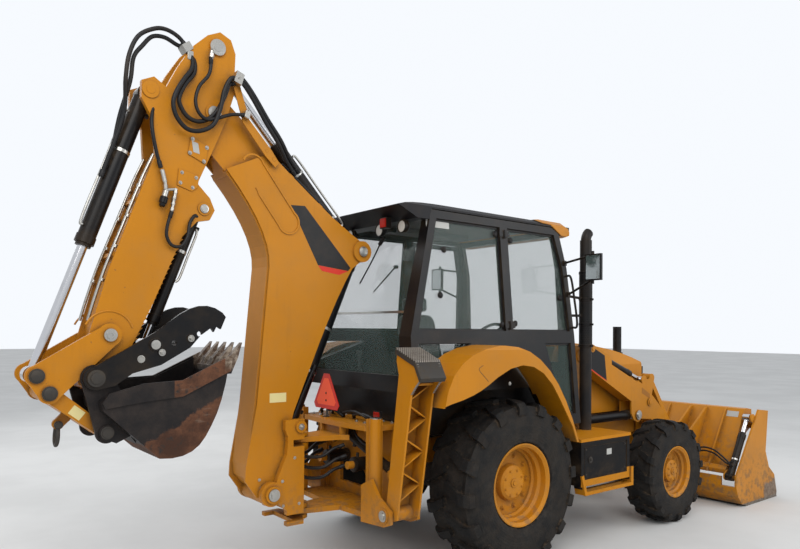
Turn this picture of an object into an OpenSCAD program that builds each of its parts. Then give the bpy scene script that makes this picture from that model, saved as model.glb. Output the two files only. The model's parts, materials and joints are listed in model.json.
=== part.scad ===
// Backhoe loader: wheels and chassis, cab, front loader with a clam bucket, rear digger with a thumb.
// Millimetres. X points forward, Y to the left, Z up. Side outlines are given as [x, z], measured from
// the point on the ground under the rear axle. place() then moves the whole machine so that its origin
// is on the ground at the middle of its length.

/* [Wheels] */
// Distance between the front and the rear axle
wheelbase = 2200; // [2160:10:2240]
// Radius of a rear tyre over its lugs
rear_tyre_r = 652; // [640:2:660]
// Width of a rear tyre
rear_tyre_w = 480; // [440:5:490]
// Bead seat radius of a rear rim
rear_rim_r = 303; // [300:1:310]
// Distance between the middles of the rear tyres
rear_track = 1714; // [1700:2:1740]
// Radius of a front tyre over its lugs
front_tyre_r = 490; // [480:2:496]
// Width of a front tyre
front_tyre_w = 316; // [300:2:324]
// Bead seat radius of a front rim
front_rim_r = 229; // [224:1:234]
// Distance between the middles of the front tyres
front_track = 1894; // [1880:2:1910]
// Distance between the two steering kingpins
kingpin_track = 1480; // [1470:2:1490]
// Lugs on each half of a rear tyre
rear_lugs = 16; // [12:1:18]
// Lugs on each half of a front tyre
front_lugs = 16; // [12:1:18]
// Height of a rear tyre lug
rear_lug_h = 36; // [28:1:40]
// Height of a front tyre lug
front_lug_h = 27; // [20:1:30]
// Angle that each front wheel steers to either side
steer_range = 40; // [30:1:42]

/* [Chassis] */
// Outside half width of the two chassis rails
rail_y = 400; // [390:2:410]
// Lower edge of the chassis rails
rail_z = 770; // [765:1:775]
// Height of the chassis rails
rail_h = 200; // [180:5:210]
// Front end of the chassis, at the grille
nose_x = 2700; // [2680:5:2710]

/* [Cab] */
// Height of the cab roof
roof_z = 2830; // [2800:5:2860]
// Height of the window sill
sill_z = 1800; // [1780:5:1820]
// Half width of the cab at the window sill
sill_y = 740; // [730:2:745]
// Lean of the cab's sides towards the middle, in degrees
side_lean = 5.5; // [4:0.5:6]
// Thickness of the cab's posts
post_t = 60; // [50:2:64]
// Height of the cab floor
floor_z = 1020; // [1010:5:1030]
// Opening angle of the cab door
door_range = 85; // [60:1:90]
// Opening angle of the hood
hood_range = 50; // [30:1:60]
// Angle through which the seat turns
seat_range = 180; // [90:5:180]

/* [Loader] */
// Full width of the loader bucket
bucket_w = 2406; // [2380:2:2420]
// Angle that the loader arms rise through
lift_range = 80; // [70:1:82]
// Angle that the loader bucket rolls back through
rollback_range = 35; // [25:1:36]
// Angle that the loader bucket dumps through
dump_range = 104; // [90:1:104]
// Angle that the clam jaw opens through
jaw_range = 75; // [60:1:78]
// Thickness of the loader arm's plates
arm_t = 16; // [12:1:17]

/* [Digger] */
// Distance of the swing axis behind the rear axle
swing_back = 1400; // [1380:5:1410]
// Swing of the digger to either side
swing_range = 90; // [80:1:90]
// Half width of the boom and of the stick
boom_y = 140; // [134:1:142]
// Angle that the boom lowers through
boom_range = 131; // [120:1:132]
// Angle that the stick opens through
stick_range = 95; // [80:1:96]
// Angle that the digger bucket opens through
curl_range = 160; // [140:1:162]
// Angle that the thumb folds through, up to the stick
thumb_range = 18; // [14:1:18]
// Full width of the digger bucket
dig_bucket_w = 560; // [530:5:560]
// Angle that a stabilizer leg comes down through
leg_range = 112; // [100:1:113]

/* [Hidden] */
$fn = 48;
yellow = "#d98f1c";
black = "#17181b";
chrome = "#c9ccd1";
rust = "#5b4636";
clear = 0.3;       // running clearance between a pin or rod and its bore
eps = 0.01;

// Pins of the front loader, as [x, z]
arm_pivot = [1250, 1620];
lift_base = [1200, 990];
lift_eye = [2260, 990];
lever_pivot = [2470, 1110];
bucket_pivot = [3020, 360];
crank_len = 260;                   // arm of the bell crank and of the bucket ear that the link joins
crank_angle = 72;                  // direction of both at rest
crank_tip = lever_pivot + crank_len * dir(crank_angle);
ear_pin = bucket_pivot + crank_len * dir(crank_angle);
tilt_base = [1480, 1680];
tilt_eye = lever_pivot + 240 * dir(105);
jaw_pivot = [3740, 840];
jaw_base = [3196, 318];
jaw_eye = [3581, 915];

// Pins of the digger
foot_pin = [-1700, 655];
boom_base = [-1475, 1125];
nose_pin = [-900, 2470];
stick_pivot = [-2150, 3330];
stick_top = [-2130, 3790];
curl_base = [-2583, 3400];
idler_pin = [-2820, 1801];
curl_eye = [-3228, 1560];
link_pin = [-3158, 1454];
bucket_pin = [-2915, 1539];
coupler_pin = [-2840, 1199];
thumb_base = [-2213, 2662];
thumb_eye = [-2560, 1740];
curl_back = -1;                    // the bucket, the idler and the stick open clockwise
idler_range = 109;                 // turn of the idler when the bucket is fully open

// Pins of a stabilizer leg, as [y, z]
leg_pivot = [760, 530];
leg_ram_base = [60, 1010];
leg_ram_eye = [676, 794];
leg_lean = 8;

swing_x = -swing_back;
pin_r = 34;
link_boss = 62;
rear_reach = curl_eye[0] - link_boss - 4;
edge_x = 4124;                     // front of the loader's cutting edge
centre_x = (rear_reach + edge_x) / 2;
bucket_y = bucket_w / 2;

function dir(a) = [cos(a), sin(a)];
function turn(p, c, a) = c + [cos(a) * (p[0] - c[0]) - sin(a) * (p[1] - c[1]),
                              sin(a) * (p[0] - c[0]) + cos(a) * (p[1] - c[1])];
function heading(a, b) = atan2(b[1] - a[1], b[0] - a[0]);
function between(a, b, t) = a + (b - a) * t;
// Points along a curve from a to c that bends towards b
function bend(a, b, c, n) = [for (i = [0:n]) let (t = i / n)
  (1 - t) * (1 - t) * a + 2 * t * (1 - t) * b + t * t * c];

module place() { translate([-centre_x, 0, 0]) children(); }
module pair() { children(); mirror([0, 1, 0]) children(); }
// Extrudes an [x, z] outline from y0 to y1
module along_y(y0, y1) { translate([0, y1, 0]) rotate([90, 0, 0]) linear_extrude(y1 - y0) children(); }
// Extrudes a [y, z] outline from x0 to x1
module along_x(x0, x1) { translate([x0, 0, 0]) rotate([90, 0, 90]) linear_extrude(x1 - x0) children(); }
module pin(p, r, y0, y1) { translate([p[0], y0, p[1]]) rotate([-90, 0, 0]) cylinder(r = r, h = y1 - y0); }
module bore(p, r, y0, y1) { pin(p, r, y0 - 1, y1 + 1); }
module block(a, b) { translate(a) cube(b - a); }
// A flat bar between two round ends
module strap(a, b, ra, rb) {
  n = norm(b - a);
  v = [-(b - a)[1], (b - a)[0]] / n * 0.96;
  translate(a) circle(ra);
  translate(b) circle(rb);
  polygon([a + v * ra, a - v * ra, b - v * rb, b + v * rb]);
}
module disc_at(p, r) { translate(p) circle(r); }
module tube_between(a, b, r) {
  d = b - a;
  translate(a) rotate([0, acos(d[2] / norm(d)), atan2(d[1], d[0])]) cylinder(r = r, h = norm(d));
}
// Carries a ram that lies along X to its pins
module on_pins(base, eye, y = 0) {
  translate([base[0], y, base[1]]) rotate([0, -heading(base, eye), 0]) children();
}
module across(r, w) { rotate([90, 0, 0]) cylinder(r = r, h = w, center = true); }

// Hydraulic rams. closed is the pin distance when the ram is shut, rest the distance as parked.
function ram_barrel(closed, eye_r) = closed - eye_r - 16;
module ram_barrel_at(closed, r, rod_r, eye_r, eye_w, pin, port = 1) {
  len = ram_barrel(closed, eye_r);
  difference() {
    union() {
      across(eye_r, eye_w);
      translate([eye_r * 0.6, 0, 0]) rotate([0, 90, 0]) cylinder(r = r, h = len - eye_r * 0.6 - 30);
      translate([len - 70, 0, 0]) rotate([0, 90, 0]) cylinder(r = r * 1.09, h = 50);
      translate([len - 30, 0, 0]) rotate([0, 90, 0]) cylinder(r = r * 0.86, h = 30);
      translate([eye_r + 70, 0, port * (r * 0.85 + 11)]) cylinder(r = 16, h = r * 0.3 + 22, center = true);
    }
    translate([eye_r + 22, 0, 0]) rotate([0, 90, 0]) cylinder(r = rod_r + clear, h = len);
    across(pin + clear, eye_w + 2);
  }
}
module ram_rod_at(closed, rest, rod_r, eye_r, eye_w, pin) {
  inner = eye_r + 30 + rest - closed;
  difference() {
    union() {
      translate([rest, 0, 0]) across(eye_r, eye_w);
      translate([inner, 0, 0]) rotate([0, 90, 0]) cylinder(r = rod_r, h = rest - inner - eye_r * 0.6);
    }
    translate([rest, 0, 0]) across(pin + clear, eye_w + 2);
  }
}

// Wheels
module tyre(r, w, rim_r, lug_h, lugs) {
  base_r = r - lug_h;
  bead_y = w * 0.385;
  side_r = (base_r + rim_r) / 2;
  wall = [for (a = [-52:26:78]) [side_r + (base_r - rim_r) * 0.5 * sin(a), w * (0.385 + 0.095 * cos(a))]];
  crown = concat([[rim_r, bead_y], [rim_r + 24, bead_y]], wall, [[base_r - 8, w * 0.33]]);
  half = concat(crown, [[base_r, 0]], [for (i = [len(crown) - 1:-1:0]) [crown[i][0], -crown[i][1]]]);
  shell = [[base_r - lug_h * 1.8, w * 0.5], [base_r - lug_h * 0.2, w * 0.5], [r - lug_h * 0.35, w * 0.43],
           [r, w * 0.32], [r, -w * 0.32], [r - lug_h * 0.35, -w * 0.43], [base_r - lug_h * 0.2, -w * 0.5],
           [base_r - lug_h * 1.8, -w * 0.5], [base_r - lug_h * 1.8, -w * 0.45], [base_r - 20, -w * 0.3],
           [base_r - 20, w * 0.3], [base_r - lug_h * 1.8, w * 0.45]];
  pitch = 2 * PI * r / lugs;
  rotate([90, 0, 0]) {
    rotate_extrude($fn = 64) polygon([for (p = half) [p[0], -p[1]]]);
    intersection() {
      rotate_extrude($fn = 64) polygon(shell);
      for (side = [0, 1]) mirror([0, 0, side]) for (i = [0:lugs - 1])
        rotate([0, 0, 360 / lugs * (i + side * 0.5)]) translate([base_r - lug_h * 3, 0, 0]) rotate([0, 90, 0])
          linear_extrude(lug_h * 4.5) polygon([
            [-w * 0.02, -pitch * 0.30], [-w * 0.02, -pitch * 0.06], [-w * 0.30, pitch * 0.25],
            [-w * 0.52, pitch * 0.33], [-w * 0.52, -pitch * 0.02], [-w * 0.30, -pitch * 0.06]]);
    }
  }
}
// The rim's profile is [radius, distance outboard of the tyre's middle]
module rim(rim_r, w, hub_r, hub_out, bore_r, disc_y) {
  half_w = w * 0.4;
  flange = rim_r + 18;
  well = rim_r - 34;
  t = 14;
  rotate([-90, 0, 0]) difference() {
    rotate_extrude($fn = 64) polygon([
      [flange, half_w], [flange, half_w + 12], [flange - 10, half_w + 12], [rim_r - t, half_w - 4],
      [rim_r - t, half_w * 0.72], [well - t + 14, half_w * 0.62], [well - t + 14, half_w * 0.42],
      [well - t, half_w * 0.34], [well - t, disc_y + 20],
      [hub_r + 10, disc_y + 20], [hub_r, hub_out], [hub_r - 22, hub_out + 14], [0, hub_out + 14],
      [0, disc_y - 34], [hub_r + 4, disc_y - 34], [hub_r + 20, disc_y], [well - t, disc_y],
      [well - t, -half_w * 0.5], [rim_r - t, -half_w * 0.72], [rim_r - t, -half_w + 4],
      [flange - 10, -half_w - 12], [flange, -half_w - 12], [flange, -half_w],
      [rim_r - 0.3, -half_w], [rim_r - 0.3, -half_w * 0.8], [well, -half_w * 0.55],
      [well, half_w * 0.4], [well + 14, half_w * 0.5], [well + 14, half_w * 0.68],
      [rim_r - 0.3, half_w * 0.8], [rim_r - 0.3, half_w]]);
    translate([0, 0, disc_y - 35]) cylinder(r = bore_r, h = 75);
  }
}
spindle_r = 60;
front_spindle_r = 45;
module rear_wheel_at(side) { translate([0, side * rear_track / 2, rear_tyre_r]) children(); }
module front_wheel_at(side) { translate([wheelbase, side * front_track / 2, front_tyre_r]) children(); }
module rear_tyre(side) { color(black) rear_wheel_at(side)
  tyre(rear_tyre_r, rear_tyre_w, rear_rim_r, rear_lug_h, rear_lugs); }
module front_tyre(side) { color(black) front_wheel_at(side)
  tyre(front_tyre_r, front_tyre_w, front_rim_r, front_lug_h, front_lugs); }
module rear_rim(side) { color(yellow) rear_wheel_at(side) mirror([0, side < 0 ? 1 : 0, 0])
  rim(rear_rim_r, rear_tyre_w, 135, 95, spindle_r + clear, 30); }
module front_rim(side) { color(yellow) front_wheel_at(side) mirror([0, side < 0 ? 1 : 0, 0])
  rim(front_rim_r, front_tyre_w, 105, 80, front_spindle_r + clear, 20); }

// Chassis with the loader towers
tower_in = 440;
tower_out = 660;
tower_t = 20;
module chassis_frame() {
  color(yellow) difference() {
    union() {
      // Side rails
      pair() along_x(-760, 2560) polygon([
        [rail_y, rail_z], [rail_y, rail_z + rail_h], [rail_y - 70, rail_z + rail_h],
        [rail_y - 70, rail_z + rail_h - 16], [rail_y - 16, rail_z + rail_h - 16],
        [rail_y - 16, rail_z + 16], [rail_y - 70, rail_z + 16], [rail_y - 70, rail_z]]);
      // Cross members
      for (x = [-760, 330]) block([x, -rail_y + 9, rail_z + 24], [x + 80, rail_y - 9, rail_z + rail_h - 40]);
      // Nose
      block([2540, -rail_y - 20, 640], [nose_x, rail_y + 20, 1010]);
      // Loader towers
      pair() {
        for (y = [tower_in, tower_out - tower_t]) along_y(y, y + tower_t) polygon([
          [1070, 700], [1070, 1500], [1150, 1710], [1300, 1720], [1370, 1600], [1340, 1200], [1420, 900],
          [1560, 780], [1560, 700]]);
        block([1060, tower_in, 700], [1090, tower_out, 1500]);
        block([1090, rail_y - 20, 700], [1560, tower_out, 760]);
        block([1090, rail_y - 20, 760], [1540, tower_in + 4, 900]);
        pin(arm_pivot, 30, tower_in - 14, tower_out + 14);
        pin(lift_base, 28, tower_in - 10, tower_out + 10);
        pin(arm_pivot, 62, tower_out - 2, tower_out + 10);
        // Posts that carry the hood's hinge
        along_y(276, 292) {
          polygon([[1500, 958], [1550, 958], [1562, 1646], [1518, 1646]]);
          disc_at(hood_hinge, 22);
        }
        pin(hood_hinge, 12, 280, 315);
        block([1500, 276, 955], [1550, rail_y - 40, 972]);
      }
    }
    // Opening for the axle's bracket
    block([2000, -rail_y + 70, 600], [2400, rail_y - 70, rail_z + 4]);
  }
}

engine = [[1560, -270, 700], [2440, 270, 1320]];
module driveline() {
  axle_y = kingpin_track / 2 - 100;
  color("#2b2c30") {
    // Engine and gearbox
    block(engine[0], engine[1]);
    block([700, -210, 640], [1560.2, 210, 960]);
    translate([120, 0, 730]) rotate([0, 90, 0]) cylinder(r = 50, h = 590);
    // Rear axle
    translate([0, 0, rear_tyre_r]) {
      sphere_barrel(200, 300);
      rotate([90, 0, 0]) cylinder(r = 100, h = 1280, center = true);
      for (s = [-1, 1]) {
        translate([0, s * 640, 0]) rotate([-s * 90, 0, 0]) cylinder(r = 175, h = 175);
        translate([0, s * 815, 0]) rotate([-s * 90, 0, 0]) cylinder(r = spindle_r, h = rear_track / 2 + 66 - 815);
      }
    }
    pair() block([-110, 330, rear_tyre_r + 60], [110, 395, rail_z]);
    // Engine mounts on the rails
    pair() block([1700, 269, 800], [1800, rail_y - 16.2, 840]);
    // Front axle
    translate([wheelbase, 0, front_tyre_r]) {
      difference() {
        union() {
          along_x(-70, 70) polygon([[-axle_y, -60], [-axle_y, 60], [-420, 100], [420, 100], [axle_y, 60],
            [axle_y, -60], [300, -100], [-300, -100]]);
          pair() {
            block([-60, axle_y - 20, -130], [60, axle_y + 20, 130]);
            for (z = [-130, 90]) block([-60, axle_y + 15, z], [60, kingpin_track / 2 + 50, z + 40]);
            translate([0, kingpin_track / 2, -126]) cylinder(r = 30, h = 252);
          }
        }
      }
      sphere_barrel(135, 220);
    }
    // Axle bracket under the engine
    block([wheelbase - 160, -240, front_tyre_r + 90], [wheelbase - 80, 240, 700.2]);
    block([wheelbase + 80, -240, front_tyre_r + 90], [wheelbase + 160, 240, 700.2]);
    translate([wheelbase - 165, 0, front_tyre_r + 125]) rotate([0, 90, 0]) cylinder(r = 40, h = 330);
  }
}
module sphere_barrel(r, w) {
  rotate([90, 0, 0]) rotate_extrude() polygon([[0, -w / 2], [r * 0.6, -w / 2], [r * 0.95, -w * 0.2],
    [r, 0], [r * 0.95, w * 0.2], [r * 0.6, w / 2], [0, w / 2]]);
}

// Steering knuckle with its spindle
module knuckle(side) {
  reach = (front_track - kingpin_track) / 2;
  color("#2b2c30") translate([wheelbase, side * kingpin_track / 2, front_tyre_r]) mirror([0, side < 0 ? 1 : 0, 0])
    difference() {
      union() {
        translate([0, 0, -84]) cylinder(r = 52, h = 168);
        block([-50, 20, -70], [50, 70, 70]);
        translate([0, 60, 0]) rotate([-90, 0, 0]) cylinder(r = 90, h = reach - 147);
        translate([0, reach - 88, 0]) rotate([-90, 0, 0]) cylinder(r = front_spindle_r, h = 130);
        block([-190, -20, -60], [-30, 25, -25]);
      }
      translate([0, 0, -90]) cylinder(r = 30 + clear, h = 180);
    }
}

// Grille and hood
hood_y = 420;
hood_hinge = [1540, 1650];
module grille() {
  color(black) {
    difference() {
      block([nose_x - 50, -hood_y + 20, 1010.2], [nose_x, hood_y - 20, 1470]);
      block([nose_x - 40, -hood_y + 60, 1050], [nose_x + 1, hood_y - 60, 1430]);
    }
    for (i = [0:8]) block([nose_x - 42, -hood_y + 50, 1080 + i * 40], [nose_x - 14, hood_y - 50, 1092 + i * 40]);
    for (y = [-200, 0, 200]) block([nose_x - 42, y - 8, 1045], [nose_x - 10, y + 8, 1435]);
  }
}
module hood() {
  t = 14;
  top = concat([[hood_hinge[0] - 40, 1020], [hood_hinge[0] - 40, 1700]],
    bend([1540, 1735], [2200, 1690], [nose_x - 60, 1520], 6), [[nose_x - 56, 1480], [nose_x - 56, 1020]]);
  inner = [[hood_hinge[0] - 60, 1010], [hood_hinge[0] - 60, 1690], [2200, 1650], [nose_x - 50, 1492],
    [nose_x - 50, 1010]];
  color(yellow) {
    difference() {
      intersection() {
        along_y(-hood_y, hood_y) polygon(top);
        along_x(1400, 2800) polygon([[-hood_y, 1020], [-hood_y, 1500], [-hood_y + 60, 1660], [-hood_y + 160, 1760],
          [hood_y - 160, 1760], [hood_y - 60, 1660], [hood_y, 1500], [hood_y, 1020]]);
      }
      intersection() {
        along_y(-hood_y + t, hood_y - t) polygon(inner);
        along_x(1400, 2800) polygon([[-hood_y + t, 1000], [-hood_y + t, 1490], [-hood_y + 72, 1640],
          [-hood_y + 166, 1738], [hood_y - 166, 1738], [hood_y - 72, 1640], [hood_y - t, 1490], [hood_y - t, 1000]]);
      }
      translate([2470, -230, 1400]) cylinder(r = 58, h = 400);
    }
    // Hinge lugs
    pair() difference() {
      along_y(297, 311) {
        disc_at(hood_hinge, 24);
        polygon([hood_hinge + [-20, 6], hood_hinge + [-10, 46], hood_hinge + [110, 44], hood_hinge + [16, -16]]);
      }
      bore(hood_hinge, 12 + clear, 297, 311);
    }
  }
  color(black) {
    translate([2470, -230, 1500]) cylinder(r = 45, h = 400);
    translate([2470, -230, 1560]) cylinder(r = 58.5, h = 60);
  }
}

// Cab
rear_x = -870;
front_x = 1050;
door_x = 200;              // middle of the centre post
door_hinge = [door_x + 36, 10];  // [x, distance outside the cab's side]
module side_outline() {
  polygon([[rear_x, 1370], [rear_x, sill_z], [rear_x + 270, roof_z - 45], [front_x - 130, roof_z - 45],
    [front_x - 40, 2420], [front_x, sill_z], [front_x, floor_z], [660, floor_z], [440, 1370]]);
}
module rear_window_outline(m = 0) {
  polygon([[rear_x + 80 + m, sill_z + 45 + m], [rear_x + 320 + m, roof_z - 110 - m],
    [door_x - 45 - m, roof_z - 110 - m], [door_x - 45 - m, sill_z + 45 + m]]);
}
module front_window_outline(m = 0) {
  polygon([[door_x + 45 + m, sill_z + 45 + m], [door_x + 45 + m, roof_z - 110 - m],
    [front_x - 190 - m, roof_z - 110 - m], [front_x - 100 - m, 2410], [front_x - 62 - m, sill_z + 45 + m]]);
}
module low_window_outline(m = 0) {
  polygon([[640 + m, sill_z - 60 - m], [front_x - 60 - m, sill_z - 60 - m], [front_x - 60 - m, floor_z + 90 + m],
    [830 + m, floor_z + 90 + m]]);
}
module low_rear_window_outline(m = 0) {
  polygon([[rear_x + 70 + m, sill_z - 55 - m], [-250 - m * 6, sill_z - 55 - m], [rear_x + 70 + m, 1560 + m]]);
}
module door_outline(m = 0) {
  polygon([[door_x + 40 + m, sill_z - 30 + m], [door_x + 40 + m, roof_z - 105 - m],
    [front_x - 185 - m, roof_z - 105 - m], [front_x - 95 - m, 2412], [front_x - 57 - m, sill_z],
    [front_x - 57 - m, floor_z + 70 + m], [860 + m, floor_z + 70 + m], [620 + m, sill_z - 30 + m]]);
}
// Leans what is drawn on the side plane inwards; outer is the distance outwards from that plane
module lean_side(side) {
  mirror([0, side < 0 ? 1 : 0, 0]) translate([0, sill_y, sill_z]) rotate([side_lean, 0, 0])
    translate([0, 0, -sill_z]) children();
}
module cab_frame() {
  color(black) {
    // Right side, with three windows and no door
    lean_side(-1) difference() {
      along_y(-post_t, 0) side_outline();
      along_y(-post_t - 1, 1) {
        rear_window_outline();
        front_window_outline();
        low_window_outline();
        low_rear_window_outline();
      }
    }
    // Left side, with the doorway
    lean_side(1) difference() {
      along_y(-post_t, 0) side_outline();
      along_y(-post_t - 1, 1) {
        rear_window_outline();
        door_outline(-5);
        low_rear_window_outline();
      }
    }
    // Door hinges
    lean_side(1) for (z = [1850, 2560]) {
      block([door_x + 12, -2, z], [door_hinge[0], door_hinge[1] + 4, z + 40]);
      translate([door_hinge[0], door_hinge[1], z]) cylinder(r = 9.5, h = 40);
      translate([door_hinge[0], door_hinge[1], z]) cylinder(r = 5, h = 84);
    }
    // Front, with the windscreen's opening, and rear
    difference() {
      intersection() {
        union() {
          along_y(-sill_y, sill_y) polygon([[front_x - 48, floor_z + 2], [front_x - 48, sill_z], [front_x - 88, 2420],
            [front_x - 178, roof_z - 45], [front_x - 130, roof_z - 45], [front_x - 40, 2420], [front_x, sill_z],
            [front_x, floor_z + 2]]);
          along_y(-sill_y, sill_y) polygon([[rear_x + 2, 1374], [rear_x + 2, sill_z], [rear_x + 272, roof_z - 46],
            [rear_x + 335, roof_z - 46], [rear_x + 60, sill_z], [rear_x + 60, 1374]]);
        }
        along_x(-2000, 2000) cab_section(3);
      }
      along_x(front_x - 400, front_x + 400) polygon([[-600, 1560], [-575, roof_z - 120], [575, roof_z - 120],
        [600, 1560]]);
      along_x(rear_x - 100, rear_x + 500) polygon([[-610, 1500], [-555, roof_z - 120], [555, roof_z - 120],
        [610, 1500]]);
    }
    // Tub of the cab: floor and inner walls between the rear wheels
    difference() {
      block([-740, -575, floor_z], [front_x - 20, 575, 1400]);
      block([-710, -545, floor_z + 30], [front_x - 50, 545, 1401]);
    }
    block([rear_x + 20, -700, 1372], [-709, 700, 1400]);
    pair() block([-740, 574, 1372], [440, 700, 1400]);
    pair() block([640, 574, floor_z], [front_x - 20, 640, floor_z + 30]);
    // Mounts on the chassis
    pair() for (x = [-640, 820]) block([x, 300, rail_z + rail_h], [x + 120, 420, floor_z + 1]);
  }
}
module cab_section(m) {
  top = tan(side_lean) * (roof_z - sill_z);
  low = tan(side_lean) * (sill_z - floor_z);
  polygon([[-sill_y - low + m, floor_z], [-sill_y + top + m, roof_z], [sill_y - top - m, roof_z],
    [sill_y + low - m, floor_z]]);
}
module cab_roof() {
  top = tan(side_lean) * (roof_z - sill_z);
  half = sill_y - top + 14;
  color(black) {
    difference() {
      intersection() {
        along_y(-half, half) polygon(concat([[rear_x + 130, roof_z - 130]],
          bend([rear_x - 60, roof_z - 44.8], [rear_x + 100, roof_z + 10], [-400, roof_z + 6], 5),
          bend([700, roof_z], [980, roof_z - 10], [front_x, roof_z - 80], 4),
          [[front_x - 20, roof_z - 110], [front_x - 126, roof_z - 110]]));
        along_x(-2000, 2000) polygon([[-half, roof_z - 140], [-half, roof_z - 30], [-half + 60, roof_z + 8],
          [half - 60, roof_z + 8], [half, roof_z - 30], [half, roof_z - 140]]);
      }
      // The roof sits over the top of the frame
      along_y(-half - 1, half + 1) polygon([[rear_x + 240, roof_z - 141], [rear_x + 268.5, roof_z - 44.7],
        [front_x - 128, roof_z - 44.7], [front_x - 102, roof_z - 141]]);
    }
  }
  // Lamp housings on the front corners
  color(yellow) pair() block([front_x - 60, half - 190, roof_z - 96], [front_x + 40, half - 10, roof_z - 26]);
}
pane = 6;
module cab_glass() {
  color("#9fb8b4", 0.4) {
    for (s = [-1, 1]) lean_side(s) along_y(-post_t / 2 - pane / 2, -post_t / 2 + pane / 2) {
      rear_window_outline(0.2);
      low_rear_window_outline(0.2);
    }
    lean_side(-1) along_y(-post_t / 2 - pane / 2, -post_t / 2 + pane / 2) {
      front_window_outline(0.2);
      low_window_outline(0.2);
    }
    intersection() {
      union() {
        along_y(-700, 700) polygon([[front_x - 36, 1560], [front_x - 36, sill_z], [front_x - 76, 2420],
          [front_x - 166, roof_z - 45], [front_x - 160, roof_z - 45], [front_x - 70, 2420], [front_x - 30, sill_z],
          [front_x - 30, 1560]]);
        along_y(-700, 700) polygon([[rear_x + 30, 1500], [rear_x + 30, sill_z], [rear_x + 300, roof_z - 45],
          [rear_x + 306, roof_z - 45], [rear_x + 36, sill_z], [rear_x + 36, 1500]]);
      }
      union() {
        along_x(500, 1500) polygon([[-599.8, 1560.2], [-574.8, roof_z - 120.2], [574.8, roof_z - 120.2],
          [599.8, 1560.2]]);
        along_x(-1500, 0) polygon([[-609.8, 1500.2], [-554.8, roof_z - 120.2], [554.8, roof_z - 120.2],
          [609.8, 1500.2]]);
      }
    }
  }
}
module cab_door() {
  color(black) lean_side(1) difference() {
    along_y(-post_t + 14, -6) door_outline();
    along_y(-post_t, 1) {
      polygon([[door_x + 85, sill_z + 45], [door_x + 85, roof_z - 150], [front_x - 215, roof_z - 150],
        [front_x - 140, 2405], [front_x - 102, sill_z + 45]]);
      polygon([[690, sill_z - 75], [front_x - 102, sill_z - 75], [front_x - 102, floor_z + 115],
        [905, floor_z + 115]]);
    }
  }
  color("#9fb8b4", 0.4) lean_side(1) along_y(-post_t / 2 - pane / 2, -post_t / 2 + pane / 2) {
    polygon([[door_x + 85.2, sill_z + 45.2], [door_x + 85.2, roof_z - 150.2], [front_x - 215.2, roof_z - 150.2],
      [front_x - 140.2, 2405], [front_x - 102.2, sill_z + 45.2]]);
    polygon([[690.4, sill_z - 75.2], [front_x - 102.2, sill_z - 75.2], [front_x - 102.2, floor_z + 115.2],
      [905.2, floor_z + 115.2]]);
  }
  // Knuckles of the hinges
  color(black) lean_side(1) for (z = [1892, 2602]) difference() {
    union() {
      block([door_hinge[0], -8, z], [door_hinge[0] + 28, door_hinge[1] + 4, z + 38]);
      translate([door_hinge[0], door_hinge[1], z]) cylinder(r = 9.5, h = 38);
    }
    translate([door_hinge[0], door_hinge[1], z - 1]) cylinder(r = 5 + clear, h = 40);
  }
  // Door handle
  color(black) lean_side(1) block([front_x - 98, -6.2, 1700], [front_x - 66, 26, 1730]);
}
seat_pos = [60, 0];
module console() {
  color("#303236") {
    // Seat post
    translate([seat_pos[0], seat_pos[1], floor_z + 30.2]) cylinder(r = 110, h = 249.8);
    // Side console and front column
    block([-300, -540, floor_z + 30.2], [560, -400, 1500]);
    difference() {
      along_y(-130, 130) polygon([[820, floor_z + 30.2], [760, 1640], [860, 1720], [960, 1600], [985, floor_z + 30.2]]);
      block([900, -90, floor_z + 40], [1000, 90, 1500]);
    }
    tube_between([800, 0, 1680], [690, 0, 1760], 22);
    translate([690, 0, 1760]) rotate([0, -54, 0]) rotate_extrude() translate([185, 0]) circle(14, $fn = 16);
    translate([690, 0, 1760]) rotate([0, -54, 0]) {
      cylinder(r = 40, h = 24, center = true);
      for (a = [90, 210, 330]) rotate([0, 0, a]) block([30, -9, -7], [178, 9, 7]);
    }
    // Digger controls behind the seat
    pair() {
      block([-700, 180, floor_z + 30.2], [-560, 330, 1420]);
      translate([-640, 250, 1410]) cylinder(r = 12, h = 230);
      translate([-640, 250, 1620]) cylinder(r1 = 20, r2 = 26, h = 44);
    }
  }
}
module seat() {
  color("#4d5750") translate([seat_pos[0], seat_pos[1], 0]) {
    translate([0, 0, floor_z + 280.3]) cylinder(r = 120, h = 60);
    block([-230, -240, floor_z + 340], [250, 240, floor_z + 450]);
    difference() {
      along_y(-230, 230) polygon([[-240, floor_z + 440], [-330, floor_z + 990], [-300, floor_z + 1110],
        [-230, floor_z + 1110], [-210, floor_z + 960], [-120, floor_z + 450]]);
      pair() block([-400, 150, floor_z + 960], [0, 400, floor_z + 1200]);
    }
    pair() block([-180, 245, floor_z + 600], [150, 300, floor_z + 650]);
    pair() block([-190, 225, floor_z + 440], [-150, 260, floor_z + 640]);
  }
}

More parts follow.
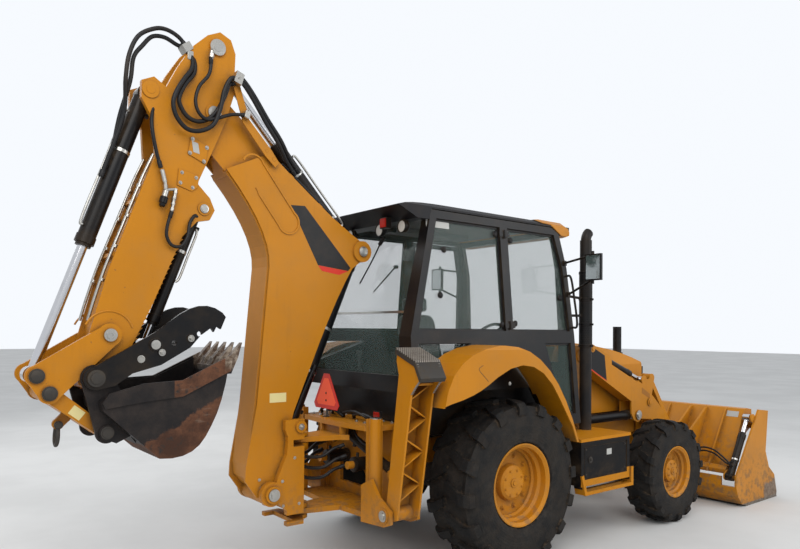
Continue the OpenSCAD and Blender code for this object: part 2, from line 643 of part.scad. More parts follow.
// Fenders over the rear wheels
fender_in = 788;
fender_out = 1104;
module fender_curve(d) {
  polygon(concat(
    bend([-855 + d, 1300], [-800 + d, 1700 - d], [-296, 1733 - d], 6),
    bend([-240, 1735 - d], [330 - d * 0.8, 1735 - d], [640 - d, 930], 8),
    [[640 - d, 700], [-855 + d, 700]]));
}
module tyre_arch() {
  polygon(concat([[-900, 600], [-860, 1312]], bend([-790, 1330], [-560, 1370], [-420, 1450], 4),
    bend([-330, 1500], [110, 1740], [400, 1290], 6), [[560, 1060], [640, 880], [640, 600]]));
}
module fenders() {
  color(yellow) pair() {
    // Top, a bevel and the outer skirt
    difference() {
      along_y(fender_in, fender_out - 70) fender_curve(0);
      along_y(fender_in - 1, fender_out - 60) fender_curve(14);
      block([430, fender_in - 2, 0], [2000, 822, 1385]);
      block([-2000, 0, 0], [2000, 2000, 931]);
      block([-2000, 0, 0], [0, 2000, 1301]);
    }
    difference() {
      along_y(fender_out - 70.1, fender_out) fender_curve(0);
      along_y(fender_out - 71, fender_out - 14) fender_curve(14);
      along_y(fender_out - 15, fender_out + 1) tyre_arch();
      block([-2000, 0, 0], [2000, 2000, 931]);
      block([-2000, 0, 0], [0, 2000, 1301]);
      // Rounded shoulder
      along_x(-1200, 1200) polygon([[fender_out + 1, 1700], [fender_out + 1, 1800], [fender_out - 40, 1800]]);
    }
    // Brackets to the cab
    for (x = [-560, -420]) {
      intersection() {
        block([x, 779.4, 1392], [x + 15, 1000, 1760]);
        along_y(700, 1100) fender_curve(6);
      }
      block([x, 779.4, 1392], [x + 60, 800, 1420]);
    }
  }
}

stack_pos = [1205, -748];
module exhaust_stack() {
  color(black) {
    translate([stack_pos[0], stack_pos[1], 946.2]) cylinder(r = 54, h = 1740);
    translate([stack_pos[0], stack_pos[1], 1700]) cylinder(r = 60, h = 700);
    // Curved top that turns the gas away from the cab
    translate([stack_pos[0], stack_pos[1], 2686]) rotate([90, 0, 0]) translate([90, 0, 0])
      rotate([0, 0, 180]) rotate_extrude(angle = -55) translate([90, 0]) circle(46);
  }
}
step_x = [690, 1390];
module side_steps() {
  color(black) {
    // Right: locker under the step; left: fuel tank
    difference() {
      block([step_x[0], -1090, 545], [step_x[1], -695, 920]);
      block([step_x[0] + 40, -1091, 600], [step_x[1] - 40, -1082, 880]);
    }
    block([step_x[0] + 50, -1086, 620], [step_x[1] - 50, -1081, 870]);
    along_x(step_x[0], step_x[1]) polygon([[695, 520], [695, 920], [1000, 920], [1085, 840], [1085, 600], [1000, 520]]);
  }
  color(yellow) {
    block([step_x[0] - 20, -1104, 920.2], [step_x[1], -662, 946]);
    block([step_x[0] - 20, 662, 920.2], [step_x[1], 1104, 946]);
    pair() {
      // Lower step in its frame
      difference() {
        along_y(1000, 1104) polygon([[step_x[0] - 12, 640], [step_x[0] + 40, 470], [step_x[1] + 40, 470],
          [step_x[1] + 40, 640], [step_x[1] + 6, 640], [step_x[1] + 6, 500], [step_x[0] + 62, 500],
          [step_x[0] + 20, 640]]);
        block([step_x[0] + 90, 1030, 400], [step_x[1] - 20, 1080, 700]);
      }
      // Carrier to the chassis
      block([step_x[0] + 160, rail_y + 0.2, rail_z + 30], [step_x[0] + 220, 694.8, rail_z + 90]);
      block([1060, 660.2, 860], [1200, 694.8, 946]);
    }
  }
}

// Main frame of the digger
lug_r = 72;
swing_pin_r = 30;
lug_low = [440, 480];
lug_high = [985, 1025];
frame_top = [1085, 1125];
module rear_frame() {
  color(yellow) {
    difference() {
      union() {
        for (z = [lug_low, frame_top]) translate([0, 0, z[0]]) linear_extrude(z[1] - z[0])
          polygon([[-760, -500], [-1010, -500], [-1066, -440], [-1090, -150], [-1090, 150], [-1066, 440],
            [-1010, 500], [-760, 500]]);
        for (z = [lug_low, lug_high]) translate([0, 0, z[0]]) linear_extrude(z[1] - z[0]) {
          polygon([[-1040, -200], [-1089, -150], [swing_x, -lug_r * 0.96], [swing_x, lug_r * 0.96],
            [-1089, 150], [-1040, 200]]);
          translate([swing_x, 0]) circle(lug_r);
        }
        // Plates that carry the upper lug
        for (y = [-150, 130]) block([-1089, y, lug_high[0] + 1], [-1040, y + 20, frame_top[0] + 1]);
        block([-1060, -150, lug_high[0] + 1], [-1040, 150, frame_top[0] + 1]);
        // Front wall, towards the rear axle
        block([-790, -500, 440], [-760.2, 500, 1125]);
        pair() {
          // Corner tubes, side webs and the bearings of the legs
          block([-1066, 460, 440], [-1016, 600, 1180]);
          translate([-1048, 560, 430]) cylinder(r = 48, h = 760);
          block([-830, 460, 440], [-780, 600, 1125]);
          for (x = [leg_x[0] - 32, leg_x[1] + 6]) along_x(x, x + 26) {
            difference() {
              polygon([[480, 430], [480, 700], [600, 760], [690, 650], [834, 570], [834, 480], [760, 450]]);
            }
          }
          block([leg_x[0] - 32, 480, 480], [-1060, 560, 700]);
          block([leg_x[1] + 6, 480, 480], [-780, 560, 700]);
          translate([leg_x[0] - 40, leg_pivot[0], leg_pivot[1]]) rotate([0, 90, 0])
            cylinder(r = pin_r, h = leg_x[1] - leg_x[0] + 80);
          translate([leg_x[0] - 40, leg_pivot[0], leg_pivot[1]]) rotate([0, 90, 0]) cylinder(r = 54, h = 9);
          // Swing rams, held in the frame
          translate([-775, 200, 790]) rotate([0, -90, 0]) cylinder(r = 52, h = 230);
          translate([-1000, 200, 790]) rotate([0, -90, 0]) cylinder(r = 30, h = 60);
          // Anchor of the leg's ram
          for (x = [-1006, -912]) along_x(x, x + 18) polygon([[12, 1086], [12, 1000], [36, 968], [84, 968],
            [108, 1000], [108, 1086]]);
          translate([-1010, leg_ram_base[0], leg_ram_base[1]]) rotate([0, 90, 0]) cylinder(r = 22, h = 120);
        }
      }
      for (z = [lug_low, lug_high]) translate([swing_x, 0, z[0] - 1]) cylinder(r = swing_pin_r + clear, h = 42);
      // Openings in the plates and the wall
      translate([0, 0, 1050]) linear_extrude(200) polygon([[-840, -330], [-890, -330], [-890, 330], [-840, 330]]);
      block([-800, -300, 560], [-750, 300, 760]);
    }
  }
}

module lamps() {
  half = sill_y - tan(side_lean) * (roof_z - sill_z);
  color("#e8e4d8") {
    // Work lamps under the rear and the front of the roof
    pair() {
      for (y = [210, 500]) {
        translate([rear_x + 100, y, roof_z - 182]) rotate([0, 90, 0]) cylinder(r = 46, h = 50);
        translate([rear_x + 125, y, roof_z - 145]) cylinder(r = 12, h = 14.8);
      }
      block([front_x + 40.2, half - 150, roof_z - 90], [front_x + 52, half - 30, roof_z - 32]);
      block([nose_x + 0.2, 250, 1300], [nose_x + 24, 370, 1400]);
    }
  }
  color("#c03018") {
    pair() block([rear_x + 20, 310, roof_z - 190], [rear_x + 70, 400, roof_z - 103.5]);
    // Slow vehicle triangle on its stem
    translate([-1010, 190, 1250]) along_x(0, 6) polygon([[-40, 230], [40, 230], [190, -20], [165, -60],
      [-165, -60], [-190, -20]]);
  }
  color("#303236") block([-1010.2, 180, 1125.2], [-1000.2, 200, 1230]);
}
module mirrors() {
  color(black) pair() {
    lean_side(1) {
      block([965, 0.3, 2445], [998, 16, 2490]);
      block([985, 0.3, 2160], [1018, 16, 2205]);
    }
    tube_between([982, 690, 2468], [962, 990, 2512], 10);
    tube_between([1002, 715, 2182], [962, 990, 2296], 10);
    translate([960, 1000, 2262]) cylinder(r = 14, h = 286);
    block([930, 940, 2290], [957, 1104, 2520]);
  }
}

// Loader arms, joined by a cross tube
arm_in = 478;
arm_out = 622;
module arm_outline() {
  union() {
    disc_at(arm_pivot, 96);
    polygon([[1190, 1545], [1225, 1713], [1485, 1725], [1760, 1610], [1800, 1560], [2290, 1330], [2352, 1300],
      [2420, 1240], [2541, 1168], [2650, 1080], [2760, 980], [2866, 800], [2900, 636], [2922, 566], [3000, 480],
      [3080, 420], [2985, 300], [2900, 400],
      [2760, 622], [2655, 800], [2505, 930], [2330, 945], [2190, 940], [2145, 1010], [2143, 1136], [1691, 1361],
      [1473, 1470], [1300, 1530]]);
    disc_at(lift_eye, 72);
    disc_at(bucket_pivot, 74);
  }
}
module loader_arms() {
  color(yellow) pair() {
    difference() {
      union() {
        along_y(arm_in, arm_in + arm_t) arm_outline();
        along_y(arm_out - arm_t, arm_out) arm_outline();
        // Boss at the tower, webs between the plates
        pin(arm_pivot, 80, arm_in, arm_out);
        along_y(arm_in + 1, arm_out - 1) polygon([[1473, 1470], [1691, 1361], [2143, 1136], [2143, 1156],
          [1697, 1379], [1480, 1488]]);
        along_y(arm_in + 1, arm_out - 1) polygon([[2760, 622], [2900, 400], [2935, 420], [2800, 638]]);
        pin(bucket_pivot, 66, arm_in, arm_in + 30);
        pin(bucket_pivot, 66, arm_out - 30, arm_out);
        // Pins that the plates carry
        pin(lever_pivot, 32, arm_in - 8, arm_out + 8);
        pin(tilt_base, 24, arm_in - 6, arm_out + 6);
        for (y = [[arm_in - 10, arm_in + arm_t], [arm_out - arm_t, arm_out + 12]]) pin(lift_eye, 40, y[0], y[1]);
      }
      bore(arm_pivot, 30 + clear, arm_in, arm_out);
      bore(bucket_pivot, 32 + clear, arm_in, arm_out);
      // Notch that shows the tilt ram
      along_y(arm_out - arm_t - 1, arm_out + 1) polygon([[1800, 1600], [1800, 1520], [2250, 1330], [2290, 1390]]);
    }
  }
  color(yellow) pin([2830, 740], 56, -arm_in - 1, arm_in + 1);
}
// Rams of the loader
arm_mid = (arm_in + arm_out) / 2;
lift_rest = norm(lift_eye - lift_base);
lift_closed = lift_rest;
module lift_barrels() { color(black) pair() on_pins(lift_base, lift_eye, arm_mid)
  ram_barrel_at(lift_closed, 46, 26, 48, 90, 28); }
module lift_rods() { color(chrome) pair() on_pins(lift_base, lift_eye, arm_mid)
  ram_rod_at(lift_closed, lift_rest, 26, 48, 90, 28); }
tilt_rest = norm(tilt_eye - tilt_base);
tilt_closed = tilt_rest - 3.8 * rollback_range - 4;
module tilt_barrels() { color(black) pair() on_pins(tilt_base, tilt_eye, arm_mid)
  ram_barrel_at(tilt_closed, 31, 19, 40, 74, 24); }
module tilt_rods() { color(chrome) pair() on_pins(tilt_base, tilt_eye, arm_mid)
  ram_rod_at(tilt_closed, tilt_rest, 19, 36, 66, 20); }
lever_in = arm_mid - 52;
lever_out = arm_mid + 52;
module tilt_levers() {
  color(yellow) pair() difference() {
    union() {
      for (y = [[lever_in, lever_in + 12], [lever_out - 12, lever_out]]) along_y(y[0], y[1]) {
        strap(lever_pivot, crank_tip, 62, 46);
        strap(lever_pivot, tilt_eye, 62, 46);
        polygon([lever_pivot, crank_tip, tilt_eye]);
      }
      pin(lever_pivot, 50, lever_in, lever_out);
      pin(crank_tip, 24, lever_in, lever_out);
    }
    bore(lever_pivot, 32 + clear, lever_in, lever_out);
  }
}
module tilt_links() {
  color(yellow) pair() difference() {
    union() {
      along_y(arm_mid - 36, arm_mid + 36) {
        strap(crank_tip, ear_pin, 28, 28);
        disc_at(crank_tip, 44);
        disc_at(ear_pin, 44);
      }
    }
    bore(crank_tip, 24 + clear, arm_mid - 36, arm_mid + 36);
    bore(ear_pin, 26 + clear, arm_mid - 36, arm_mid + 36);
  }
}
// Loader bucket: the blade with its ears, and the jaw that opens in front of it
blade_y = 1056;
blade_low = [3290, 350];
blade_top = [3650, 1000];
module loader_blade() {
  color(yellow) {
    difference() {
      union() {
        // Blade and its top beam
        along_y(-blade_y, blade_y) polygon([blade_low, blade_top, blade_top + [60, 6], blade_top + [150, -8],
          blade_top + [150, -30], blade_top + [60, -40], blade_low + [26, -10]]);
        // End walls that carry the jaw's pins
        pair() along_y(blade_y - 20, blade_y) polygon([blade_low, blade_top, [3820, 990], [3830, 800], [3700, 740],
          [3560, 560], [3340, 340]]);
        // Ribs on the back, four of them the ears for the arms
        pair() for (y = [[arm_in - 30, arm_in - 6], [arm_out + 6, arm_out + 30]]) along_y(y[0], y[1]) {
          disc_at(bucket_pivot, 70);
          strap(bucket_pivot, ear_pin, 66, 52);
          polygon([[2990, 300], [3300, 342], [3640, 985], [3600, 985], ear_pin + [10, 50], bucket_pivot]);
        }
        pair() for (y = [190, 860]) along_y(y - 9, y + 9) polygon([blade_low + [4, 6], blade_top + [0, -4],
          blade_top + [-40, -30], blade_low + [-50, 60], blade_low + [-90, -10]]);
        pair() {
          pin(bucket_pivot, 32, arm_in - 36, arm_out + 36);
          pin(ear_pin, 26, arm_in - 36, arm_out + 36);
          // Anchor of the jaw's ram
          along_y(1062, 1076) polygon([[3300, 346], [3330, 410], [3220, 374], [3162, 346], [3160, 302], [3200, 275]]);
          block([3270, blade_y - 30, 346], [3330, 1070, 372]);
          pin(jaw_base, 20, 1062, 1160);
        }
        // Lower beam behind the blade
        along_y(-blade_y, blade_y) polygon([blade_low + [2, 0], blade_low + [40, 60], blade_low + [-30, 70],
          blade_low + [-66, 30], blade_low + [-60, -14]]);
      }
      pair() bore(jaw_pivot, 30 + clear, blade_y - 20, blade_y);
    }
  }
}
module jaw_side() {
  polygon([[3161, 336], [3675, 1006], [3896, 980], [3837, 537], [3919, 355], [4052, 256], [4112, 60], [4100, 0],
    [3400, 0], [3290, 30], [3200, 120], [3160, 220]]);
}
module loader_jaw() {
  color(yellow) {
    pair() {
      along_y(bucket_y - 20, bucket_y) jaw_side();
      pin(jaw_pivot, 30, blade_y - 26, bucket_y - 19);
      pin(jaw_pivot, 58, blade_y + 6, bucket_y - 19);
      // Ear for the ram's rod
      pin(jaw_eye, 22, 1158, bucket_y - 19);
      along_y(1166, bucket_y - 19) disc_at(jaw_eye, 46);
    }
    // Floor and curved back
    difference() {
      along_y(-bucket_y + 10, bucket_y - 10) polygon([[4100, 0], [3400, 0], [3290, 30], [3200, 120], [3160, 220],
        [3161, 318], [3184, 318], [3186, 226], [3220, 140], [3300, 56], [3400, 24], [4060, 24]]);
      // Room for the rams' lower ends
      pair() block([3150, 1040, 224], [3192, bucket_y - 20, 330]);
    }
    // Cutting edge
    along_y(-bucket_y, bucket_y) polygon([[edge_x, 0], [3960, 0], [3960, 30], [4060, 30]]);
  }
}
jaw_rest = norm(jaw_eye - jaw_base);
jaw_closed = norm(turn(jaw_eye, jaw_pivot, jaw_range) - jaw_base);
module jaw_barrels() { color(black) pair() on_pins(jaw_base, jaw_eye, 1119)
  ram_barrel_at(jaw_closed, 38, 22, 40, 74, 20); }
module jaw_rods() { color(chrome) pair() on_pins(jaw_base, jaw_eye, 1119)
  ram_rod_at(jaw_closed, jaw_rest, 22, 40, 70, 20); }

// Digger
ear_in = boom_y + 12;
ear_out = boom_y + 58;
module swing_casting() {
  color(yellow) {
    difference() {
      union() {
        // Ears on both sides of the boom's foot, notched where they pass the frame's upper lug
        pair() along_y(ear_in, ear_out) {
          polygon([[-1600, 1180], [-1440, 1180], [-1440, 1032], [-1532, 1032], [-1532, 978], [-1440, 978],
            [-1440, 492], [-1560, 500], [-1640, 575], [-1690, 655], [-1660, 760], [-1585, 930], [-1575, 1050],
            [-1600, 1110]]);
          disc_at(foot_pin, 88);
        }
        // Forks above and below each lug of the frame
        for (z = [[lug_low[0] - 35, lug_low[0] - 5], [lug_low[1] + 5, lug_low[1] + 40],
                  [lug_high[0] - 40, lug_high[0] - 5], [lug_high[1] + 5, lug_high[1] + 32]])
          translate([0, 0, z[0]]) linear_extrude(z[1] - z[0]) {
            translate([swing_x, 0]) circle(92);
            polygon([[swing_x + 10, -88], [swing_x + 10, 88], [-1440, ear_out], [-1580, ear_out],
              [-1580, -ear_out], [-1440, -ear_out]]);
          }
        // Wall between the ears and the spine
        block([-1500, -ear_in - 1, lug_low[1] + 20], [-1474, ear_in + 1, lug_high[0] - 20]);
        translate([swing_x, 0, lug_low[1] + 20]) cylinder(r = 60, h = lug_high[0] - lug_low[1] - 40);
        block([-1490, -40, lug_low[1] + 20], [swing_x, 40, lug_high[0] - 20]);
        // Swing pins
        translate([swing_x, 0, lug_low[0] - 42]) cylinder(r = swing_pin_r, h = 110);
        translate([swing_x, 0, lug_high[0] - 50]) cylinder(r = swing_pin_r, h = 92);
        pair() pin(foot_pin, 60, ear_out - 2, ear_out + 26);
        pair() pin(boom_base, 44, ear_out - 2, ear_out + 18);
        pin(foot_pin, pin_r, -ear_out - 30, ear_out + 30);
      }
      // Room for the foot of the boom and of its ram
      block([-1800, -ear_in, 380], [-1506, ear_in, 620]);
      block([-1800, -62, 980], [-1408, 62, 1300]);
      block([-1800, -ear_in, 940], [-1530, ear_in, 1070]);
    }
    pin(boom_base, 28, -ear_out - 1, ear_out + 1);
    pin(foot_pin, pin_r, -ear_out - 30, ear_out + 30);
  }
}
boom_side = concat(
  [[-1615, 700], [-1600, 840], [-1500, 1230]],
  bend([-1290, 1726], [-1120, 2120], [-985, 2330], 4),
  [[-905, 2390]],
  [[-850, 2520], [-990, 2600]],
  bend([-1180, 2720], [-1480, 2940], [-1740, 3150], 3),
  [[-1860, 3290], [-2020, 3430], [-2150, 3460], [-2260, 3400], [-2285, 3300], [-2150, 3060]],
  bend([-2050, 2960], [-1700, 2560], [-1712, 2300], 7),
  [[-1800, 1300], [-1880, 860], [-1885, 760], [-1800, 640], [-1700, 590], [-1630, 610]]);
boom_core = concat(
  [[-1640, 760], [-1620, 840], [-1520, 1230]],
  bend([-1310, 1726], [-1150, 2100], [-1080, 2260], 4),
  [[-1120, 2540]],
  bend([-1300, 2700], [-1500, 2880], [-1760, 3080], 3),
  [[-2040, 3260], [-2100, 3060]],
  bend([-2040, 2930], [-1710, 2550], [-1724, 2300], 7),
  [[-1812, 1300], [-1868, 870], [-1860, 780], [-1790, 700]]);
side_t = 16;
head_y = 96;              // half width of the boom's upper end, between the plates of the stick's head
module boom() {
  color(yellow) difference() {
    union() {
      // Side plates below, a narrower head above
      pair() along_y(boom_y - side_t, boom_y) difference() {
        polygon(boom_side);
        polygon([[-3000, 2950], [-2080, 2950], [-1780, 3095], [-1500, 3250], [-1500, 4000], [-3000, 4000]]);
      }
      pair() along_y(head_y - side_t, head_y) intersection() {
        polygon(boom_side);
        polygon([[-3000, 2700], [-1700, 2700], [-1500, 3400], [-1500, 4000], [-3000, 4000]]);
      }
      // Hollow box between the plates
      along_y(-boom_y + side_t - 1, boom_y - side_t + 1) difference() {
        polygon(boom_core);
        offset(delta = -14) polygon(boom_core);
        polygon([[-3000, 2940], [-2070, 2940], [-1770, 3085], [-1500, 3240], [-1500, 4000], [-3000, 4000]]);
      }
      along_y(-head_y + side_t - 1, head_y - side_t + 1) intersection() {
        difference() {
          polygon(boom_core);
          offset(delta = -14) polygon(boom_core);
        }
        polygon([[-3000, 2700], [-1700, 2700], [-1500, 3400], [-1500, 4000], [-3000, 4000]]);
      }
      along_y(-boom_y + side_t - 1, boom_y - side_t + 1) polygon([[-2036, 2920], [-1772, 3044], [-1730, 3070],
        [-1776, 3096], [-2046, 2960]]);
      pin(stick_pivot, 105, -head_y, head_y);
      pin(foot_pin, 84, -boom_y, boom_y);
      // Nose bosses that carry both rams
      pair() pin(nose_pin, 84, boom_y - side_t, boom_y + 22);
      pin(nose_pin, pin_r, -boom_y - 30, boom_y + 30);
      // Clamps under the hoses
      for (t = [0.2, 0.8]) let (c = between([-1180, 2752], [-1600, 3070], t), d = [-0.797, 0.604], n = [0.604, 0.797])
        pair() along_y(78, boom_y - side_t + 1)
          polygon([c + 20 * d - 14.1 * n, c - 20 * d - 14.1 * n, c - 20 * d - 135 * n, c + 20 * d - 135 * n]);
      // Raised rib on each side
      pair() difference() {
        along_y(boom_y - 1, boom_y + 7) strap([-1850, 3010], [-1560, 2640], 92, 92);
        along_y(boom_y - 2, boom_y + 8) strap([-1850, 3010], [-1560, 2640], 80, 80);
        along_y(boom_y - 2, boom_y + 8) polygon([[-2000, 2820], [-1800, 2800], [-1900, 3000], [-1960, 3100]]);
      }
    }
    bore(stick_pivot, pin_r + 4 + clear, -head_y, head_y);
    bore(foot_pin, pin_r + clear, -boom_y, boom_y);
  }
}
boom_rest = norm(nose_pin - boom_base);
boom_closed = boom_rest;
module boom_barrel() { color(black) on_pins(boom_base, nose_pin)
  ram_barrel_at(boom_closed, 66, 36, 50, 110, 28, -1); }
// A hook, open where the pin leaves it
module boom_rod() {
  color(chrome) on_pins(boom_base, nose_pin) difference() {
    ram_rod_at(boom_closed, boom_rest, 36, 58, 60, pin_r);
    translate([boom_rest, 0, 0]) along_y(-37, 37) {
      strap([0, 0], [-60, 74], pin_r + 3, pin_r + 3);
      strap([0, 0], [8, 60], pin_r + 1, pin_r + 1);
    }
  }
}
stick_rest = norm(stick_top - nose_pin);
stick_closed = norm(turn(stick_top, stick_pivot, -stick_range) - nose_pin);
module stick_barrel() {
  color(black) on_pins(nose_pin, stick_top) difference() {
    union() {
      for (s = [-1, 1]) translate([0, s * 60, 0]) across(60, 40);
      translate([72, 0, 0]) rotate([0, 90, 0]) cylinder(r = 60, h = stick_closed - 198);
      difference() {
        block([0, -80, -50], [110, 80, 50]);
        block([-70, -40, -70], [66, 40, 70]);
      }
      translate([stick_closed - 146, 0, 0]) rotate([0, 90, 0]) cylinder(r = 66, h = 70);
      translate([130, 0, 40]) cylinder(r = 18, h = 50);
    }
    across(pin_r + clear, 200);
    translate([120, 0, 0]) rotate([0, 90, 0]) cylinder(r = 34 + clear, h = stick_closed);
  }
}
module stick_rod() {
  inner = 130 + stick_rest - stick_closed;
  color(chrome) on_pins(nose_pin, stick_top) difference() {
    union() {
      translate([stick_rest, 0, 0]) across(56, 120);
      translate([inner, 0, 0]) rotate([0, 90, 0]) cylinder(r = 34, h = stick_rest - inner - 30);
    }
    translate([stick_rest, 0, 0]) across(pin_r, 130);
  }
}

stick_head_in = 104;      // inner face of the head's plates
stick_side = [[-2200, 3860], [-2110, 3905], [-2030, 3870], [-1995, 3780], [-2005, 3480], [-2060, 3300],
  [-2150, 3080], [-2260, 2830], [-2170, 2740], [-2135, 2660], [-2170, 2590], [-2260, 2570], [-2360, 2460],
  [-2560, 1980], [-2700, 1690], [-2800, 1470], [-2915, 1450], [-2990, 1500], [-2998, 1585], [-2972, 1668], [-2925, 1850],
  [-2830, 2200], [-2700, 2560], [-2545, 2980], [-2560, 3200], [-2640, 3340], [-2640, 3450], [-2560, 3490],
  [-2480, 3440], [-2400, 3600], [-2300, 3760]];
stick_core = [[-2400, 3020], [-2330, 2800], [-2386, 2480], [-2470, 2400], [-2650, 2000], [-2775, 1700],
  [-2830, 1590], [-2900, 1620], [-2900, 1850], [-2805, 2200], [-2680, 2560], [-2560, 2900], [-2500, 3020]];
module stick() {
  color(yellow) pin(thumb_base, 23.7, -60, 60);
  color(yellow) difference() {
    union() {
      pair() along_y(boom_y - side_t, boom_y) difference() {
        polygon(stick_side);
        polygon([[-4000, 2950], [-1000, 2950], [-1000, 4000], [-4000, 4000]]);
      }
      // The head's plates stand outside the boom's upper end
      pair() along_y(stick_head_in, boom_y) intersection() {
        polygon(stick_side);
        polygon([[-4000, 2560], [-2500, 2560], [-2100, 2560], [-1000, 3600], [-1000, 4000], [-4000, 4000]]);
      }
      along_y(-boom_y + side_t - 1, boom_y - side_t + 1) difference() {
        polygon(stick_core);
        offset(delta = -14) polygon(stick_core);
      }
      pin(bucket_pin, 78, -boom_y + 1, boom_y - 1);
      pin(idler_pin, 74, -boom_y, boom_y);
      pin(stick_pivot, pin_r + 4, -boom_y - 16, boom_y + 16);
      pair() pin(stick_pivot, 62, boom_y - 2, boom_y + 10);
      // Stubs that stand for the rod's pin, open between them
      pair() pin(stick_top, 58, stick_head_in - 1, boom_y + 12);
      pin(curl_base, 28, -boom_y - 10, boom_y + 10);
      pair() pin(curl_base, 56, boom_y - 2, boom_y + 8);
      pin(thumb_base, 24, -boom_y - 10, boom_y + 10);
      pair() pin(thumb_base, 44, boom_y - 2, boom_y + 8);
      pin(idler_pin, 30, -boom_y - 44, boom_y + 44);
      for (t = [0.15, 0.85]) let (c = between([-2832, 2240], [-2640, 2760], t), d = [0.3464, 0.9381], n = [0.9381, -0.3464])
        along_y(-boom_y + side_t - 1, boom_y - side_t + 1)
          polygon([c + 14 * d + 9.1 * n, c - 14 * d + 9.1 * n, c - 14 * d + 60 * n, c + 14 * d + 60 * n]);
      // Cover plate with its bolts, and the row of teeth along the front edge
      pair() along_y(boom_y - 1, boom_y + 8) polygon([[-2310, 3140], [-2190, 3090], [-2210, 2970], [-2330, 3020]]);
      pair() for (t = [0:0.05:1]) let (q = between([-2372, 2440], [-2660, 1775], t))
        along_y(boom_y - 44, boom_y - 12) polygon([q + [-14, 12], q + [22, 4], q + [-2, -20], q + [-26, -14]]);
    }
    bore(bucket_pin, pin_r + clear, -boom_y, boom_y);
    // Channel for the thumb's ram in the front edge
    block([-2400, -52, 2560], [-2100, 52, 2760]);
  }
}
curl_rest = norm(curl_eye - curl_base);
curl_closed = norm(turn(curl_eye, idler_pin, curl_back * idler_range) - curl_base) - 10;
module curl_barrel() { color(black) on_pins(curl_base, curl_eye)
  ram_barrel_at(curl_closed, 56, 31, 54, 100, 28); }
module curl_rod() { color(chrome) on_pins(curl_base, curl_eye)
  ram_rod_at(curl_closed, curl_rest, 31, 52, 100, 28); }
idler_in = boom_y + 8;
idler_out = boom_y + 32;
module idler_link() {
  color(yellow) difference() {
    union() {
      pair() along_y(idler_in, idler_out) {
        strap(idler_pin, curl_eye, 72, link_boss);
        strap(idler_pin, link_pin, 72, link_boss);
        strap(curl_eye, link_pin, link_boss, link_boss);
      }
      pair() pin(curl_eye, 46, idler_in - 2, idler_out + 12);
      pin(link_pin, 28, -idler_out - 12, idler_out + 12);
      pair() pin(link_pin, 46, idler_out - 1, idler_out + 12);
    }
    bore(idler_pin, 30 + clear, -idler_out - 20, idler_out + 20);
  }
}
module power_link() {
  color(yellow) difference() {
    union() {
      along_y(-boom_y + 6, boom_y - 6) strap(link_pin, coupler_pin, 50, 37);
      pin(link_pin, 54, -idler_in + 4, idler_in - 4);
      // Lifting eye under the link
      along_y(-12, 12) strap([-3035, 1290], [-3075, 1250], 34, 34);
    }
    bore(link_pin, 28 + clear, -idler_in, idler_in);
    bore([-3078, 1247], 17, -14, 14);
  }
}
coupler_in = boom_y + 38;
coupler_out = boom_y + 60;
dig_y = dig_bucket_w / 2;
bowl = concat([[-2858, 1420], [-2893, 1392], [-2881, 1340], [-2594, 1068]],
  bend([-2540, 1018], [-2330, 985], [-2240, 1130], 5),
  bend([-2200, 1200], [-2120, 1340], [-2080, 1600], 4));
mouth = [[-2400, 1500], [-2640, 1490]];
module dig_bucket() {
  color(rust) {
    // Side plates and the band along the mouth
    pair() along_y(dig_y - 18, dig_y) polygon(concat(bowl, [[-2062, 1655]], mouth));
    pair() along_y(dig_y - 2, dig_y + 14) polygon([[-2890, 1394], [-2852, 1446], [-2640, 1500], [-2400, 1510],
      [-2058, 1672], [-2072, 1560], [-2400, 1405], [-2640, 1385], [-2876, 1354]]);
    // Wrapped sheet
    along_y(-dig_y + 1, dig_y - 1) difference() {
      polygon(concat(bowl, [[-2400, 1460]]));
      polygon(concat([[-2840, 1700], [-2842, 1408], [-2873, 1382], [-2861, 1346], [-2584, 1092]],
        bend([-2540, 1042], [-2338, 1010], [-2262, 1138], 5),
        bend([-2222, 1208], [-2142, 1345], [-2102, 1600], 4), [[-2102, 1700]]));
    }
    // Lip and teeth
    along_y(-dig_y, dig_y) polygon([[-2112, 1555], [-2080, 1555], [-2050, 1640], [-2064, 1650]]);
    for (i = [0:4]) let (y = -dig_y + 26 + i * (dig_bucket_w - 52) / 4)
      along_y(y - 24, y + 24) polygon([[-2114, 1541], [-2062, 1541], [-2014, 1650], [-1985, 1752], [-2042, 1690],
        [-2086, 1640]]);
    // Coupler ears and the plate between them
    pair() along_y(coupler_in, coupler_out) {
      strap(bucket_pin, coupler_pin, 80, 66);
      polygon([[-2990, 1520], [-2850, 1600], [-2760, 1460], [-2700, 1166], [-2782, 1128], [-2900, 1180]]);
    }
    along_y(-coupler_out + 1, coupler_out - 1) polygon([[-2726, 1200], [-2694, 1160], [-2660, 1112],
      [-2680, 1200]]);
    pair() pin(coupler_pin, 48, coupler_out - 1, coupler_out + 12);
    pair() pin(coupler_pin, 30, boom_y, coupler_out + 2);
    pin(bucket_pin, pin_r, -boom_y - 102, boom_y + 102);
  }
}
thumb_in = boom_y + 66;
thumb_out = boom_y + 92;
